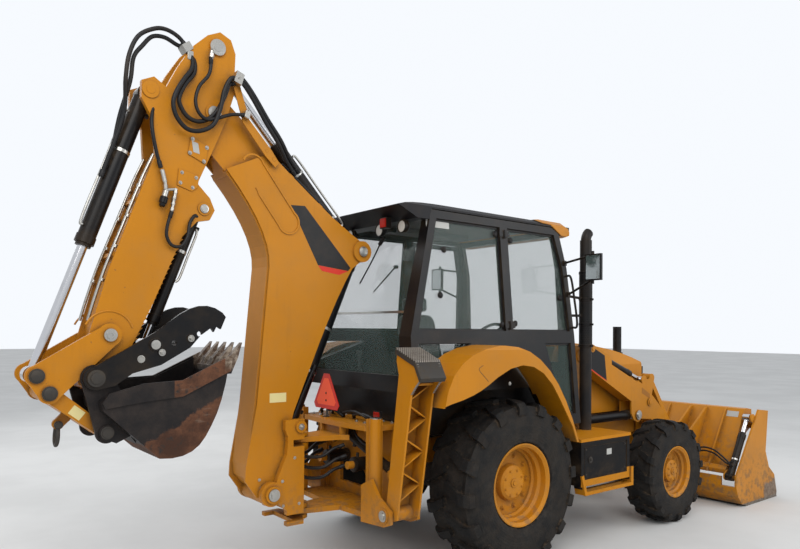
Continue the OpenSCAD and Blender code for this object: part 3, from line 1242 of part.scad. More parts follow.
module thumb() {
  color(black) difference() {
    union() {
      pair() along_y(thumb_in, thumb_out) {
        disc_at(bucket_pin, 72);
        polygon(concat([[-2960, 1590], [-2900, 1468], [-2800, 1490], [-2700, 1560], [-2520, 1610], [-2330, 1720],
          [-2260, 1800], [-2190, 1850]],
          [[-2170, 1822], [-2150, 1862], [-2120, 1842], [-2085, 1925]],
          bend([-2110, 1955], [-2240, 2050], [-2400, 1940], 5), [[-2560, 1820], [-2760, 1700]]));
      }
      // Cross plates that tie both sides
      along_y(-thumb_in - 1, thumb_in + 1) polygon([[-2420, 1720], [-2340, 1760], [-2230, 1870], [-2250, 1895],
        [-2360, 1790], [-2430, 1745]]);
      pair() pin(thumb_eye, 40, boom_y + 6, thumb_out + 10);
      for (p = [[-2330, 1780], [-2520, 1690]]) pair() pin(p, 22, thumb_out - 1, thumb_out + 10);
    }
    bore(bucket_pin, pin_r + clear, -thumb_out, thumb_out);
    bore([-2270, 1810], 17, -thumb_out, thumb_out);
    bore([-2440, 1750], 17, -thumb_out, thumb_out);
  }
}
thumb_rest = norm(thumb_eye - thumb_base);
thumb_closed = norm(turn(thumb_eye, bucket_pin, thumb_range) - thumb_base) - 20;
module thumb_barrel() { color(black) on_pins(thumb_base, thumb_eye)
  ram_barrel_at(thumb_closed, 40, 22, 42, 90, 24); }
module thumb_rod() { color(chrome) on_pins(thumb_base, thumb_eye)
  ram_rod_at(thumb_closed, thumb_rest, 22, 40, 90, 24); }

// Stabilizer legs, drawn for the left side and mirrored for the right
leg_x = [-1090, -880];
module leg(side) {
  t = 16;
  color(yellow) mirror([0, side < 0 ? 1 : 0, 0]) difference() {
    union() {
      translate([0, leg_pivot[0], leg_pivot[1]]) rotate([leg_lean - 0, 0, 0]) mirror([0, 0, 0]) leg_body(t);
    }
    translate([leg_x[0] - 1, leg_pivot[0], leg_pivot[1]]) rotate([0, 90, 0])
      cylinder(r = pin_r + clear, h = leg_x[1] - leg_x[0] + 2);
  }
}
// The leg upright from its pivot, open outwards
module leg_body(t) {
  w = [leg_x[0], leg_x[1]];
  rotate([-2 * leg_lean, 0, 0]) {
    // Bearing tube, inner web and both walls
    translate([w[0], 0, 0]) rotate([0, 90, 0]) cylinder(r = 52, h = w[1] - w[0]);
    block([w[0], -20, 30], [w[1], -20 + t, 1010]);
    for (x = [w[0], w[1] - t]) along_x(x, x + t) polygon([[-20, 20], [-20, 1010], [-60, 1100], [-60, 1170],
      [150, 1120], [210, 1020], [165, 960], [130, 900], [110, 0], [30, -40]]);
    // Zigzag ribs
    for (i = [0:6]) let (z0 = 110 + i * 120, up = i % 2 == 0)
      along_y(-6, 84) polygon(up
        ? [[w[0] + t - 1, z0], [w[1] - t + 1, z0 + 108], [w[1] - t + 1, z0 + 120], [w[0] + t - 1, z0 + 12]]
        : [[w[1] - t + 1, z0], [w[0] + t - 1, z0 + 108], [w[0] + t - 1, z0 + 120], [w[1] - t + 1, z0 + 12]]);
    block([w[0] + 1, -20, 960], [w[1] - 1, 130, 976]);
    // Street pad with its ribbed tread
    along_x(w[0] - 6, w[1] + 10) polygon([[-80, 1150], [-76, 1180], [150, 1126], [225, 1030], [215, 1004],
      [140, 1100]]);
    for (i = [0:9]) along_x(w[0] - 6, w[1] + 10) let (q = between([-70, 1176], [145, 1126], i / 9))
      polygon([q + [-7, -6], q + [-4, 16], q + [4, 14], q + [7, -8]]);
    // Ears for the ram
    for (x = [-1004, -912]) along_x(x, x + 16) polygon([[-16, 150], [-16, 350], [-100, 300], [-152, 262],
      [-152, 232], [-120, 205]]);
  }
}
leg_rest = norm(leg_ram_eye - leg_ram_base);
leg_closed = leg_rest;
module across_leg(side) {
  mirror([0, side < 0 ? 1 : 0, 0]) translate([-950, 0, 0]) rotate([0, 0, 90]) on_pins(leg_ram_base, leg_ram_eye)
    children();
}
module leg_barrel(side) { color(black) across_leg(side) ram_barrel_at(leg_closed, 34, 22, 36, 70, 22, -1); }
module leg_rod(side) { color(chrome) across_leg(side) ram_rod_at(leg_closed, leg_rest, 22, 34, 70, 20); }

// Hoses that the boom and the stick carry
module hose(points, r) {
  for (i = [0:len(points) - 2]) {
    tube_between(points[i], points[i + 1], r);
    translate(points[i]) sphere(r, $fn = 16);
  }
}
module boom_hoses() {
  color(black) for (y = [-96, 96]) translate([0, y, 0])
    tube_between([-1180, 0, 2752], [-1600, 0, 3070], 14);
}
module stick_hoses() {
  color(black) for (y = [-100, 100]) translate([0, y, 0])
    tube_between([-2832, 0, 2240], [-2640, 0, 2760], 9);
}

place() chassis_frame();
place() driveline();
place() grille();
place() cab_frame();
place() cab_roof();
place() cab_glass();
place() console();
place() fenders();
place() exhaust_stack();
place() side_steps();
place() rear_frame();
place() lamps();
place() mirrors();
place() seat();
place() hood();
place() cab_door();
place() rear_tyre(1);  // rear_tyre_left
place() rear_tyre(-1);  // rear_tyre_right
place() rear_rim(1);  // rear_rim_left
place() rear_rim(-1);  // rear_rim_right
place() front_tyre(1);  // front_tyre_left
place() front_tyre(-1);  // front_tyre_right
place() front_rim(1);  // front_rim_left
place() front_rim(-1);  // front_rim_right
place() knuckle(1);  // knuckle_left
place() knuckle(-1);  // knuckle_right
place() loader_arms();
place() lift_barrels();
place() lift_rods();
place() tilt_barrels();
place() tilt_rods();
place() tilt_levers();
place() tilt_links();
place() loader_blade();
place() loader_jaw();
place() jaw_barrels();
place() jaw_rods();
place() swing_casting();
place() boom();
place() boom_barrel();
place() boom_rod();
place() stick();
place() stick_barrel();
place() stick_rod();
place() idler_link();
place() power_link();
place() curl_barrel();
place() curl_rod();
place() dig_bucket();
place() thumb();
place() thumb_barrel();
place() thumb_rod();
place() leg(1);  // leg_left
place() leg(-1);  // leg_right
place() leg_barrel(1);  // leg_barrel_left
place() leg_barrel(-1);  // leg_barrel_right
place() leg_rod(1);  // leg_rod_left
place() leg_rod(-1);  // leg_rod_right
place() boom_hoses();
place() stick_hoses();
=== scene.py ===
import bmesh
import bpy
import json
import math
from mathutils import Matrix, Vector
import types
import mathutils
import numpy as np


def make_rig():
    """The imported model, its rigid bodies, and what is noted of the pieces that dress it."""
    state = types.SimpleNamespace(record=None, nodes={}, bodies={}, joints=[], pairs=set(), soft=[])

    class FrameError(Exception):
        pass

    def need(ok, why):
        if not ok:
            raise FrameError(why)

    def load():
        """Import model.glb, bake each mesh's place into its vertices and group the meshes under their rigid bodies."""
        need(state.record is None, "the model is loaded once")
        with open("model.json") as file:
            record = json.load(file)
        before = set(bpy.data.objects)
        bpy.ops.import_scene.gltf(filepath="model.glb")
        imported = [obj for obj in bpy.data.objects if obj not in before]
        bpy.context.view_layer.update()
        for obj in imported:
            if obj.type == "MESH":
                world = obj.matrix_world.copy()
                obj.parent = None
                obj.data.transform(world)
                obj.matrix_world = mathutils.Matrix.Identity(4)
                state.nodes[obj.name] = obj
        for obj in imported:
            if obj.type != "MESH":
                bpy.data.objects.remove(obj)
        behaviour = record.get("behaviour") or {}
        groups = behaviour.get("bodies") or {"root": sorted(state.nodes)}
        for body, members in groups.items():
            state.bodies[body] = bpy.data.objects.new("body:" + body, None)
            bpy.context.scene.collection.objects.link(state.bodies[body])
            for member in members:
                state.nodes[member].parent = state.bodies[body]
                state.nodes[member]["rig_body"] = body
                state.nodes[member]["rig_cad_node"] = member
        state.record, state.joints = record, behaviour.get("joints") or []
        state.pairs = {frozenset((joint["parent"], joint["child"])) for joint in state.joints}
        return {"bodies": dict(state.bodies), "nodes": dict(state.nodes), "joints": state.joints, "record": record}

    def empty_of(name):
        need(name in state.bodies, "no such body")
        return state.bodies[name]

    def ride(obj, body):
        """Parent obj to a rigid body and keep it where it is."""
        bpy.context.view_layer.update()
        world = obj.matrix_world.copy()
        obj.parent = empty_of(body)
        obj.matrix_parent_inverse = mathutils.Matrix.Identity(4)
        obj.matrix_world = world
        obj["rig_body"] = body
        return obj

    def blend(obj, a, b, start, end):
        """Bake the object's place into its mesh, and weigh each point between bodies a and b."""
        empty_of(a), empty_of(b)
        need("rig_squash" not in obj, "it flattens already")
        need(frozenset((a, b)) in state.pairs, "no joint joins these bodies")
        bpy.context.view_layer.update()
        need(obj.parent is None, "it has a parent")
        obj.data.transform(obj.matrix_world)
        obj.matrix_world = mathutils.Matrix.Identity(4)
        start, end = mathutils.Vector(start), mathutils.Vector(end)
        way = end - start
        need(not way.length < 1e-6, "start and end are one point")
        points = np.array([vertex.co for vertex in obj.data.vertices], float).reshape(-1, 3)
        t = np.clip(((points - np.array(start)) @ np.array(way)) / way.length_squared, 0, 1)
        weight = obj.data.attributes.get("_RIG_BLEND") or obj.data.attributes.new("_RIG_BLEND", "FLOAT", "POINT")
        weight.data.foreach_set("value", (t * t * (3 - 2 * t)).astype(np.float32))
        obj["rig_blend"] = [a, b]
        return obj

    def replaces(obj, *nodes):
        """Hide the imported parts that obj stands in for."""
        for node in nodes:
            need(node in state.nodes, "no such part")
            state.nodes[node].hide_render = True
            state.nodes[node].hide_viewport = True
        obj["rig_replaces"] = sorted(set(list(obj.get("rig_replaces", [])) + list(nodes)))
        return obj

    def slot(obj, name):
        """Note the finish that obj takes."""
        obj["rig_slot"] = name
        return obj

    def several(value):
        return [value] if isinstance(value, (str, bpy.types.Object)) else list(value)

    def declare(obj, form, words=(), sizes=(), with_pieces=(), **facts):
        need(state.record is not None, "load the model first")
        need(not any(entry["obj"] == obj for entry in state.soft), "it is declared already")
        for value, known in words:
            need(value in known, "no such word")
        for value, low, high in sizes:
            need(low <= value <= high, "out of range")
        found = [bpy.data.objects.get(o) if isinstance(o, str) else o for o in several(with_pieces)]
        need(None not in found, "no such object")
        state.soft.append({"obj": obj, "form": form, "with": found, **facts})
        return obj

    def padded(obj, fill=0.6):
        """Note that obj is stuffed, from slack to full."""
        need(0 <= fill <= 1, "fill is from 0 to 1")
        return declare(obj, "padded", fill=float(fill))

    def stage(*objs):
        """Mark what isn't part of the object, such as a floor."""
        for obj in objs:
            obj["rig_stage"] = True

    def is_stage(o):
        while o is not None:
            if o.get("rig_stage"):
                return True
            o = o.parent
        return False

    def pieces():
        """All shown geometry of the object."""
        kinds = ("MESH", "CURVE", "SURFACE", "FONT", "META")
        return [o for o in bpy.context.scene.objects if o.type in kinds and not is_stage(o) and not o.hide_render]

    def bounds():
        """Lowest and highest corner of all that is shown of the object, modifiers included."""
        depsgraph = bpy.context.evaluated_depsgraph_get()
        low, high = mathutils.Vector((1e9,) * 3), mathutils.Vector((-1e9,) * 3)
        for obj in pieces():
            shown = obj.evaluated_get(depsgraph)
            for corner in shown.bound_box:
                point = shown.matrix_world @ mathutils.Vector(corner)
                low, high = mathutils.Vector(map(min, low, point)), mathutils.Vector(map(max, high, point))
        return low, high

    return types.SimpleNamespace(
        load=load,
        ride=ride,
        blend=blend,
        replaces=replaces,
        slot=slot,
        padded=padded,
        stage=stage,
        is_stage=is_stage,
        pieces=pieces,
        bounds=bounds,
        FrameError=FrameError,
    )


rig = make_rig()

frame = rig.load()
cad_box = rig.bounds()
nodes = frame["nodes"]

# Sizes shared with the part, in the machine's millimetres: x ahead of the rear axle, y left, z above the ground
CENTRE_X = 415
SIDE_LEAN, SILL_Y, SILL_Z, ROOF_Z = 5.5, 740, 1800, 2830
REAR_X, FRONT_X, DOOR_X = -870, 1050, 200
REAR_WHEEL, FRONT_WHEEL = (0, 857, 652), (2200, 947, 490)
STACK_X, STACK_Y = 1205, -748
LOCKER_Y, FENDER_Y = -1086, 1104
LEG_Y, LEG_Z, LEG_LEAN = 760, 530, 8
# Pins as [x, z], and half the width of boom and stick
BOOM_Y = 140
STICK_PIVOT, NOSE_PIN, STICK_TOP = (-2150, 3330), (-900, 2470), (-2130, 3790)
BOOM_BASE, FOOT_PIN = (-1475, 1125), (-1700, 655)
CURL_BASE, CURL_EYE = (-2583, 3400), (-3228, 1560)
IDLER_PIN, LINK_PIN, BUCKET_PIN, COUPLER_PIN = (-2820, 1801), (-3158, 1454), (-2915, 1539), (-2840, 1199)
THUMB_BASE, THUMB_EYE = (-2213, 2662), (-2560, 1740)
JAW_BASE, JAW_EYE, JAW_Y = (3196, 318), (3581, 915), 1119
LIFTING_EYE = (-3078, 1247)

HOSE_Y = -172           # the layer of hoses beside the stick
SIDES = (("left", 1), ("right", -1))


def P(x, y, z):
    """A point of the machine as a point of the row frame."""
    return Vector(((x - CENTRE_X) / 1000, y / 1000, z / 1000))


# Materials. Masks are in the row frame's metres.

class Value:
    """A shader output that takes part in sums and comparisons. The sign | gives the larger of two."""

    def __init__(self, tree, socket):
        self.tree = tree
        self.socket = socket

    def __add__(self, other):
        return self.tree.math("ADD", self, other)

    def __sub__(self, other):
        return self.tree.math("SUBTRACT", self, other)

    def __mul__(self, other):
        return self.tree.math("MULTIPLY", self, other)

    def __or__(self, other):
        return self.tree.math("MAXIMUM", self, other)

    def __gt__(self, limit):
        return self.tree.math("GREATER_THAN", self, limit)

    def __lt__(self, limit):
        return self.tree.math("LESS_THAN", self, limit)

    def __abs__(self):
        return self.tree.math("ABSOLUTE", self)


def rgba(color):
    return color if isinstance(color, Value) else (*color, 1)


def dim(color, k):
    return tuple(c * k for c in color)


class Tree:
    """A short way to write shader nodes."""

    def __init__(self, name):
        self.mat = bpy.data.materials.new(name)
        self.mat.use_nodes = True
        self.nt = self.mat.node_tree
        self.bsdf = self.nt.nodes["Principled BSDF"]
        self.coord = self.new("TexCoord", "Object")
        self.x, self.y, self.z = (self.new("SeparateXYZ", i, {0: self.coord}) for i in range(3))

    def new(self, kind, output, inputs=None, **props):
        """Adds a node with its properties and inputs, and gives one of its outputs."""
        node = self.nt.nodes.new("ShaderNode" + kind)
        for key, value in props.items():
            setattr(node, key, value)
        for key, value in (inputs or {}).items():
            self.put(node.inputs[key], value)
        return Value(self, node.outputs[output])

    def put(self, socket, value):
        if isinstance(value, Value):
            self.nt.links.new(value.socket, socket)
        else:
            socket.default_value = value

    def math(self, operation, a, b=0.0):
        return self.new("Math", 0, {0: a, 1: b}, operation=operation)

    def mix(self, fac, a, b):
        return self.new("Mix", 2, {0: fac, 6: rgba(a), 7: rgba(b)}, data_type="RGBA")

    def span(self, value, lo, hi, out_lo=0.0, out_hi=1.0):
        ends = {"Value": value, "From Min": lo, "From Max": hi, "To Min": out_lo, "To Max": out_hi}
        return self.new("MapRange", "Result", ends, interpolation_type="SMOOTHSTEP")

    def noise(self, scale, detail=5.0, rough=0.6, lo=0.35, hi=0.65, stretch=None):
        """Noise in object space, spread so that lo to hi become 0 to 1."""
        at = self.new("Mapping", "Vector", {"Vector": self.coord, "Scale": stretch}) if stretch else self.coord
        inputs = {"Vector": at, "Scale": scale, "Detail": detail, "Roughness": rough}
        return self.span(self.new("TexNoise", "Fac", inputs), lo, hi)

    def reach(self, a, b):
        """How far a point is that lies a one way and b across it."""
        return self.math("SQRT", a * a + b * b)

    def cavity(self, distance, lo, hi):
        """1 in corners, 0 on open faces."""
        return self.span(self.new("AmbientOcclusion", "AO", {"Distance": distance}, samples=6), lo, hi, 1.0, 0.0)

    def bump(self, height, strength, distance):
        inputs = {"Strength": strength, "Distance": distance, "Height": height}
        self.put(self.bsdf.inputs["Normal"], self.new("Bump", "Normal", inputs))

    def done(self, color, rough, shine=0.5, **inputs):
        """Fills in the shader. Its other inputs are named with _ for a blank."""
        inputs.update(Base_Color=rgba(color), Roughness=rough, Specular_IOR_Level=shine)
        for key, value in inputs.items():
            self.put(self.bsdf.inputs[key.replace("_", " ")], value)
        return self.mat


DUST = (0.26, 0.155, 0.06)
MUD = (0.17, 0.115, 0.07)
YELLOW = (0.50, 0.190, 0.005)
BLACK = (0.0045, 0.0045, 0.0055)
GLASS = (0.10, 0.145, 0.130)


def paint(name, color, rough=0.38, dust=0.35, mud_top=0.9, coat=0.05, chips=0.5, shine=0.22, mud=0.7, other=None,
          zone=None, wear=None):
    """Machine paint: faded patches, dust, corners darkened brown as painted shade and grime, mud low down, small chips
    down to dark primer.
    zone(t) marks where the colour other is used instead, wear(t) where the steel shows."""
    t = Tree(name)
    fade = t.noise(1.7, 3, 0.5)
    streak = t.noise(5.0, 4, 0.6, 0.52, 0.78, stretch=(3.0, 3.0, 0.35))

    def tone(c):
        return t.mix(streak * 0.22, t.mix(fade * 0.55, c, dim(c, 0.86)), dim(c, 0.62))
    base = tone(color)
    if zone:
        base = t.mix(zone(t), base, tone(other))
    # Painted shade and grime: an ambient occlusion mask darkens corners and recesses towards dark brown.
    grime_and_shade = t.cavity(0.10, 0.35, 0.95) * t.noise(7.0, 6, 0.65, 0.3, 0.6)
    base = t.mix(grime_and_shade * 0.62, base, (0.09, 0.06, 0.035))
    film = t.noise(3.1, 7, 0.68, 0.42, 0.75) * dust
    base = t.mix(film, base, DUST)
    splash = t.span(t.z, 0.25, mud_top, 1.0, 0.0) * t.noise(16.0, 8, 0.7, 0.46, 0.62)
    base = t.mix(splash * mud, base, MUD)
    chip = t.noise(45.0, 3, 0.5, 0.70, 0.735) * t.noise(2.3, 2, 0.5, 0.5, 0.7)
    base = t.mix(chip * chips, base, (0.07, 0.05, 0.04))
    if wear:
        bare = t.mix(t.noise(38.0, 6, 0.7), (0.085, 0.062, 0.045), (0.19, 0.165, 0.14))
        base = t.mix(wear(t), base, bare)
    orange_peel = t.noise(180.0, 2, 0.5, 0.2, 0.8)
    t.bump(orange_peel * 0.3 + splash * 0.7, 0.25, 0.0012)
    return t.done(base, (film | splash) * 0.42 + rough + fade * 0.08, shine, Coat_Weight=coat, Coat_Roughness=0.25)


def step_zone(t):
    """Yellow treads on top and yellow frames below, on the dark locker and tank."""
    outside = abs(t.y) > 1.0878
    return (t.z > 0.9201) | (t.z < 0.5195) | (outside * (t.z < 0.64))


def intake_zone(t):
    """The air intake, which stands on the hood."""
    return t.reach(t.x - 2.055, t.y + 0.230) < 0.0595


def pad_zone(t):
    """The street pad at the end of a leg, told from the leg by two slanted planes."""
    cos, sin = 0.9903, 0.1392
    out, up = abs(t.y) - LEG_Y / 1000, t.z - LEG_Z / 1000
    y = out * cos - up * sin
    z = out * sin + up * cos
    return (y * 0.2324 + z * 0.9726 > 1.101) | (y * 0.788 + z * 0.616 > 0.787)


def jaw_wear(t):
    """Bare edge, and the patch that the ground has rubbed on the lower front of the sides."""
    front = t.span(t.x, 3.30, 3.50) * t.span(t.z, 0.10, 0.30, 1.0, 0.0)
    patch = t.span(front + t.noise(9.0, 6, 0.7) * 0.5, 0.62, 0.92)
    return (t.z < 0.032) | (patch * 0.85)


def hole_shade_zone(t):
    """Rows of 24 round holes in the stack's shield, each second row turned by half a step, drawn near black as painted
    shade of the openings.
    """
    x, y = t.x - (STACK_X - CENTRE_X) / 1000, t.y - STACK_Y / 1000
    turn = t.math("ARCTAN2", y, x) * (24 / (2 * math.pi))
    row = t.z * (1 / 0.0165)
    u = t.math("FRACT", turn + t.math("FRACT", t.math("FLOOR", row) * 0.5)) - 0.5
    v = t.math("FRACT", row) - 0.5
    return (t.z > 1.74) * (t.z < 2.36) * (u * u + v * v < 0.075)


def tyre_rubber(name, x, z, inner, outer):
    """Rubber with pale dust between the lugs and on the wall, darker where the lugs have been rubbed."""
    t = Tree(name)
    r = t.reach(t.x - x, t.z - z)
    base = t.mix(t.noise(6.0, 4), (0.006, 0.006, 0.0065), (0.012, 0.0115, 0.011))
    dusty = t.span(r, outer - 0.040, outer - 0.006, 1.0, 0.0) * t.noise(9.0, 7, 0.7, 0.36, 0.66)
    base = t.mix(dusty * 0.34, base, (0.060, 0.048, 0.038))
    wall = t.span(r, inner, inner + 0.16, 0.50, 0.15) * t.noise(14.0, 6, 0.7, 0.42, 0.7)
    base = t.mix(wall, base, (0.050, 0.043, 0.036))
    clay = t.cavity(0.05, 0.3, 0.85) * t.noise(20.0, 6, 0.7, 0.45, 0.6)
    base = t.mix(clay * 0.55, base, MUD)
    flat = t.new("Mapping", "Vector", {"Vector": t.coord, "Location": (-x, 0, -z), "Scale": (1, 0, 1)})
    ribs = t.new("TexWave", "Fac", {"Vector": flat, "Scale": 14.0}, wave_type="RINGS", rings_direction="SPHERICAL")
    ribs = ribs * t.span(r, outer - 0.15, outer - 0.10, 1.0, 0.0)
    t.bump(ribs * 0.35 + t.noise(70.0, 5, 0.7, 0.3, 0.7) * 0.65, 0.5, 0.003)
    return t.done(base, dusty * 0.3 + 0.62, 0.18)


def steel(name, color, rough, metallic=1.0, grime_and_shade=0.4, scale=40.0):
    t = Tree(name)
    film = t.noise(11.0, 7, 0.7, 0.45, 0.72) * grime_and_shade
    t.bump(t.noise(scale, 3, 0.6, 0.25, 0.75), 0.12, 0.0006)
    return t.done(t.mix(film, color, (0.10, 0.075, 0.05)), film * 0.5 + rough, Metallic=metallic)


def bucket_skin(name):
    """Dark paint on the upper back, rubbed to brown steel below it, and pale earth on the teeth."""
    t = Tree(name)
    dark = t.mix(t.noise(7.0, 6, 0.65, 0.35, 0.7), (0.009, 0.0075, 0.008), (0.026, 0.019, 0.016))
    brown = t.mix(t.noise(4.0, 7, 0.7, 0.35, 0.68), (0.050, 0.022, 0.013), (0.145, 0.060, 0.030))
    brown = t.mix(t.noise(23.0, 6, 0.7, 0.52, 0.7), brown, (0.030, 0.024, 0.021))
    scratch = t.noise(30.0, 3, 0.5, 0.62, 0.74, stretch=(0.25, 4.0, 1.6))
    brown = t.mix(scratch * 0.30, brown, (0.22, 0.16, 0.12))
    line = t.x * 0.49 - t.z * 0.87 + t.noise(11.0, 7, 0.7, 0.3, 0.7) * 0.045
    cutter = (abs(t.y) > 0.2804) * (t.x > -2.87)
    worn = t.span(line, -2.452, -2.425) | (cutter * t.span(t.z, 1.38, 1.42))
    clay = t.mix(t.noise(16.0, 6, 0.7, 0.40, 0.68), (0.085, 0.052, 0.034), (0.33, 0.27, 0.21))
    teeth = (t.x > -2.5285) * t.span(t.z, 1.545, 1.60)
    t.bump(t.noise(60.0, 8, 0.75, 0.2, 0.8) * 0.6 + t.noise(9.0) * 0.4, 0.5, 0.003)
    return t.done(t.mix(teeth, t.mix(worn, dark, brown), clay), worn * 0.25 + 0.55, 0.25)


def glass(name, tint, alpha):
    t = Tree(name)
    film = t.noise(5.0, 6, 0.7, 0.5, 0.85)
    t.mat.surface_render_method = "BLENDED"
    return t.done(tint, film * 0.12 + 0.04, Alpha=film * 0.04 + alpha, IOR=1.45)


def door_skin(name, color, tint):
    """The door's black frame, and its panes in a thin layer behind the leaning outer face."""
    t = Tree(name)
    a = math.radians(SIDE_LEAN)
    depth = (t.y - SILL_Y / 1000) * math.cos(a) + (t.z - SILL_Z / 1000) * math.sin(a)
    pane = (depth > -0.0340) * (depth < -0.0260)
    t.mat.surface_render_method = "BLENDED"
    return t.done(t.mix(pane, color, tint), pane * -0.30 + 0.36, 0.25, Alpha=pane * -0.80 + 1.0)


def plastic(name, color, rough=0.55, bump=0.25, scale=220.0, dust=0.25, shine=0.28):
    t = Tree(name)
    film = t.noise(4.0, 7, 0.7, 0.45, 0.75) * dust
    t.bump(t.noise(scale, 3, 0.6, 0.2, 0.8), bump, 0.0008)
    return t.done(t.mix(film, color, DUST), film * 0.3 + rough, shine)


def woven(name, color):
    t = Tree(name)
    across, up = (t.new("TexWave", "Fac", {"Vector": t.coord, "Scale": 95.0}, bands_direction=d) for d in "XZ")
    weave = across | up
    base = t.mix(weave * 0.5, dim(color, 0.6), color)
    t.bump(weave, 0.5, 0.0015)
    return t.done(t.mix(t.noise(6.0) * 0.3, base, dim(color, 1.7)), 0.9, Sheen_Weight=0.35)


M = {
    "yellow": paint("yellow_paint", YELLOW, dust=0.20),
    "yellow_arm": paint("yellow_loader", YELLOW, dust=0.24, mud_top=1.0),
    "rim": paint("yellow_rim", YELLOW, rough=0.45, dust=0.30, mud_top=0.7, coat=0.04),
    "jaw": paint("yellow_jaw", YELLOW, dust=0.24, mud_top=0.7, wear=jaw_wear),
    "hood": paint("yellow_hood", YELLOW, dust=0.14, other=BLACK, zone=intake_zone),
    "leg": paint("yellow_leg", YELLOW, dust=0.24, other=(0.030, 0.026, 0.022), zone=pad_zone),
    "steps": paint("black_and_yellow", BLACK, rough=0.42, dust=0.05, chips=0.0, coat=0.0, shine=0.12, mud=0.3,
                   other=YELLOW, zone=step_zone),
    # The shield's holes are coloured near black: painted shade seen through openings that the mesh does not have.
    "stack": paint("perforated_black", (0.011, 0.011, 0.012), rough=0.45, dust=0.06, chips=0.0, coat=0.0, shine=0.18,
                   other=(0.001, 0.001, 0.001), zone=hole_shade_zone),
    "black": paint("black_paint", BLACK, rough=0.36, dust=0.07, mud_top=0.7, chips=0.0, shine=0.2, mud=0.35),
    "cab": paint("cab_black", BLACK, rough=0.34, dust=0.05, mud_top=0.6, chips=0.0),
    "roof": plastic("roof_plastic", (0.008, 0.008, 0.010), 0.45, dust=0.05, shine=0.2),
    "iron": paint("iron_casting", (0.020, 0.019, 0.019), rough=0.5, dust=0.20, mud_top=0.8, chips=0.0, coat=0.0),
    "interior": plastic("interior_plastic", (0.030, 0.031, 0.032), 0.6, dust=0.12),
    "rear_tyre": tyre_rubber("rear_tyre_rubber", -0.415, 0.652, 0.32, 0.652),
    "front_tyre": tyre_rubber("front_tyre_rubber", 1.785, 0.490, 0.24, 0.490),
    "chrome": steel("chromed_rod", (0.72, 0.72, 0.74), 0.14, grime_and_shade=0.15),
    "bright": steel("bright_fittings", (0.50, 0.49, 0.46), 0.30, grime_and_shade=0.35),
    "dark_steel": steel("dark_steel", (0.05, 0.045, 0.04), 0.5, 0.6, 0.5),
    "rust": bucket_skin("worn_steel"),
    "glass": glass("tinted_glass", GLASS, 0.19),
    "door": door_skin("door_frame_and_glass", BLACK, GLASS),
    "seat": woven("seat_fabric", (0.022, 0.027, 0.026)),
    "hose": plastic("hose_rubber", (0.009, 0.009, 0.010), 0.45, 0.3, 400.0, 0.06),
    "lens": plastic("lens_plastic", (0.66, 0.65, 0.60), 0.15, 0.3, 120.0, 0.05),
    "red": plastic("red_lens", (0.42, 0.018, 0.010), 0.2, 0.3, 120.0, 0.05),
    "amber": plastic("orange_sheet", (1.0, 0.105, 0.030), 0.45, 0.1, 300.0, 0.03),
    "vinyl_black": plastic("vinyl_black", (0.007, 0.007, 0.008), 0.33, 0.1, 300.0, 0.05),
    "vinyl_red": plastic("vinyl_red", (0.62, 0.026, 0.012), 0.35, 0.1, 300.0, 0.05),
    "vinyl_pale": plastic("vinyl_pale", (0.70, 0.60, 0.28), 0.45, 0.1, 300.0, 0.1),
    "vinyl_ochre": plastic("vinyl_ochre", (0.30, 0.115, 0.010), 0.45, 0.1, 300.0, 0.1),
    "vinyl_grey": plastic("vinyl_grey", (0.42, 0.42, 0.40), 0.4, 0.1, 300.0, 0.1),
    "lining": plastic("roof_lining", (0.16, 0.165, 0.165), 0.9, 0.4, 500.0, 0.1),
    "mirror": steel("mirror_glass", (0.75, 0.77, 0.78), 0.06, grime_and_shade=0.1),
    "pad": steel("worn_pad", (0.055, 0.050, 0.045), 0.55, 0.6, 0.7),
    "tread": steel("rubbed_tread", (0.30, 0.27, 0.235), 0.5, 0.5, 0.55, 90.0),
}

# The start or a piece of a node's name, and its material. The first that fits counts, and the rest are yellow.
BY_NODE = {
    "_rod": "chrome", "barrel": "black", "rear_tyre": "rear_tyre", "front_tyre": "front_tyre", "_rim_": "rim",
    "cab_frame": "cab", "cab_roof": "roof", "cab_door": "door", "cab_glass": "glass", "hood": "hood",
    "console": "interior", "grille": "black", "exhaust_stack": "stack", "side_steps": "steps", "mirrors": "black",
    "driveline": "iron", "knuckle": "iron", "lamps": "lens", "seat": "seat", "_hoses": "hose",
    "loader_arms": "yellow_arm", "loader_blade": "yellow_arm", "tilt_l": "yellow_arm", "loader_jaw": "jaw",
    "leg_": "leg", "dig_bucket": "rust", "thumb": "black",
}
for name, obj in nodes.items():
    look = next((value for key, value in BY_NODE.items() if key in name), "yellow")
    obj.data.materials.clear()
    obj.data.materials.append(M[look])

# What a piece's material stands for in the record. All others are worn_steel.
SLOTS = {
    "yellow": "yellow_paint", "black": "black_paint", "vinyl_black": "black_paint", "hose": "hose_rubber",
    "interior": "iron", "lining": "seat_fabric", "mirror": "chromed_rod", "lens": "lamp_plastic",
    "red": "lamp_plastic", "vinyl_red": "lamp_plastic", "amber": "lamp_plastic",
}


# Mesh code

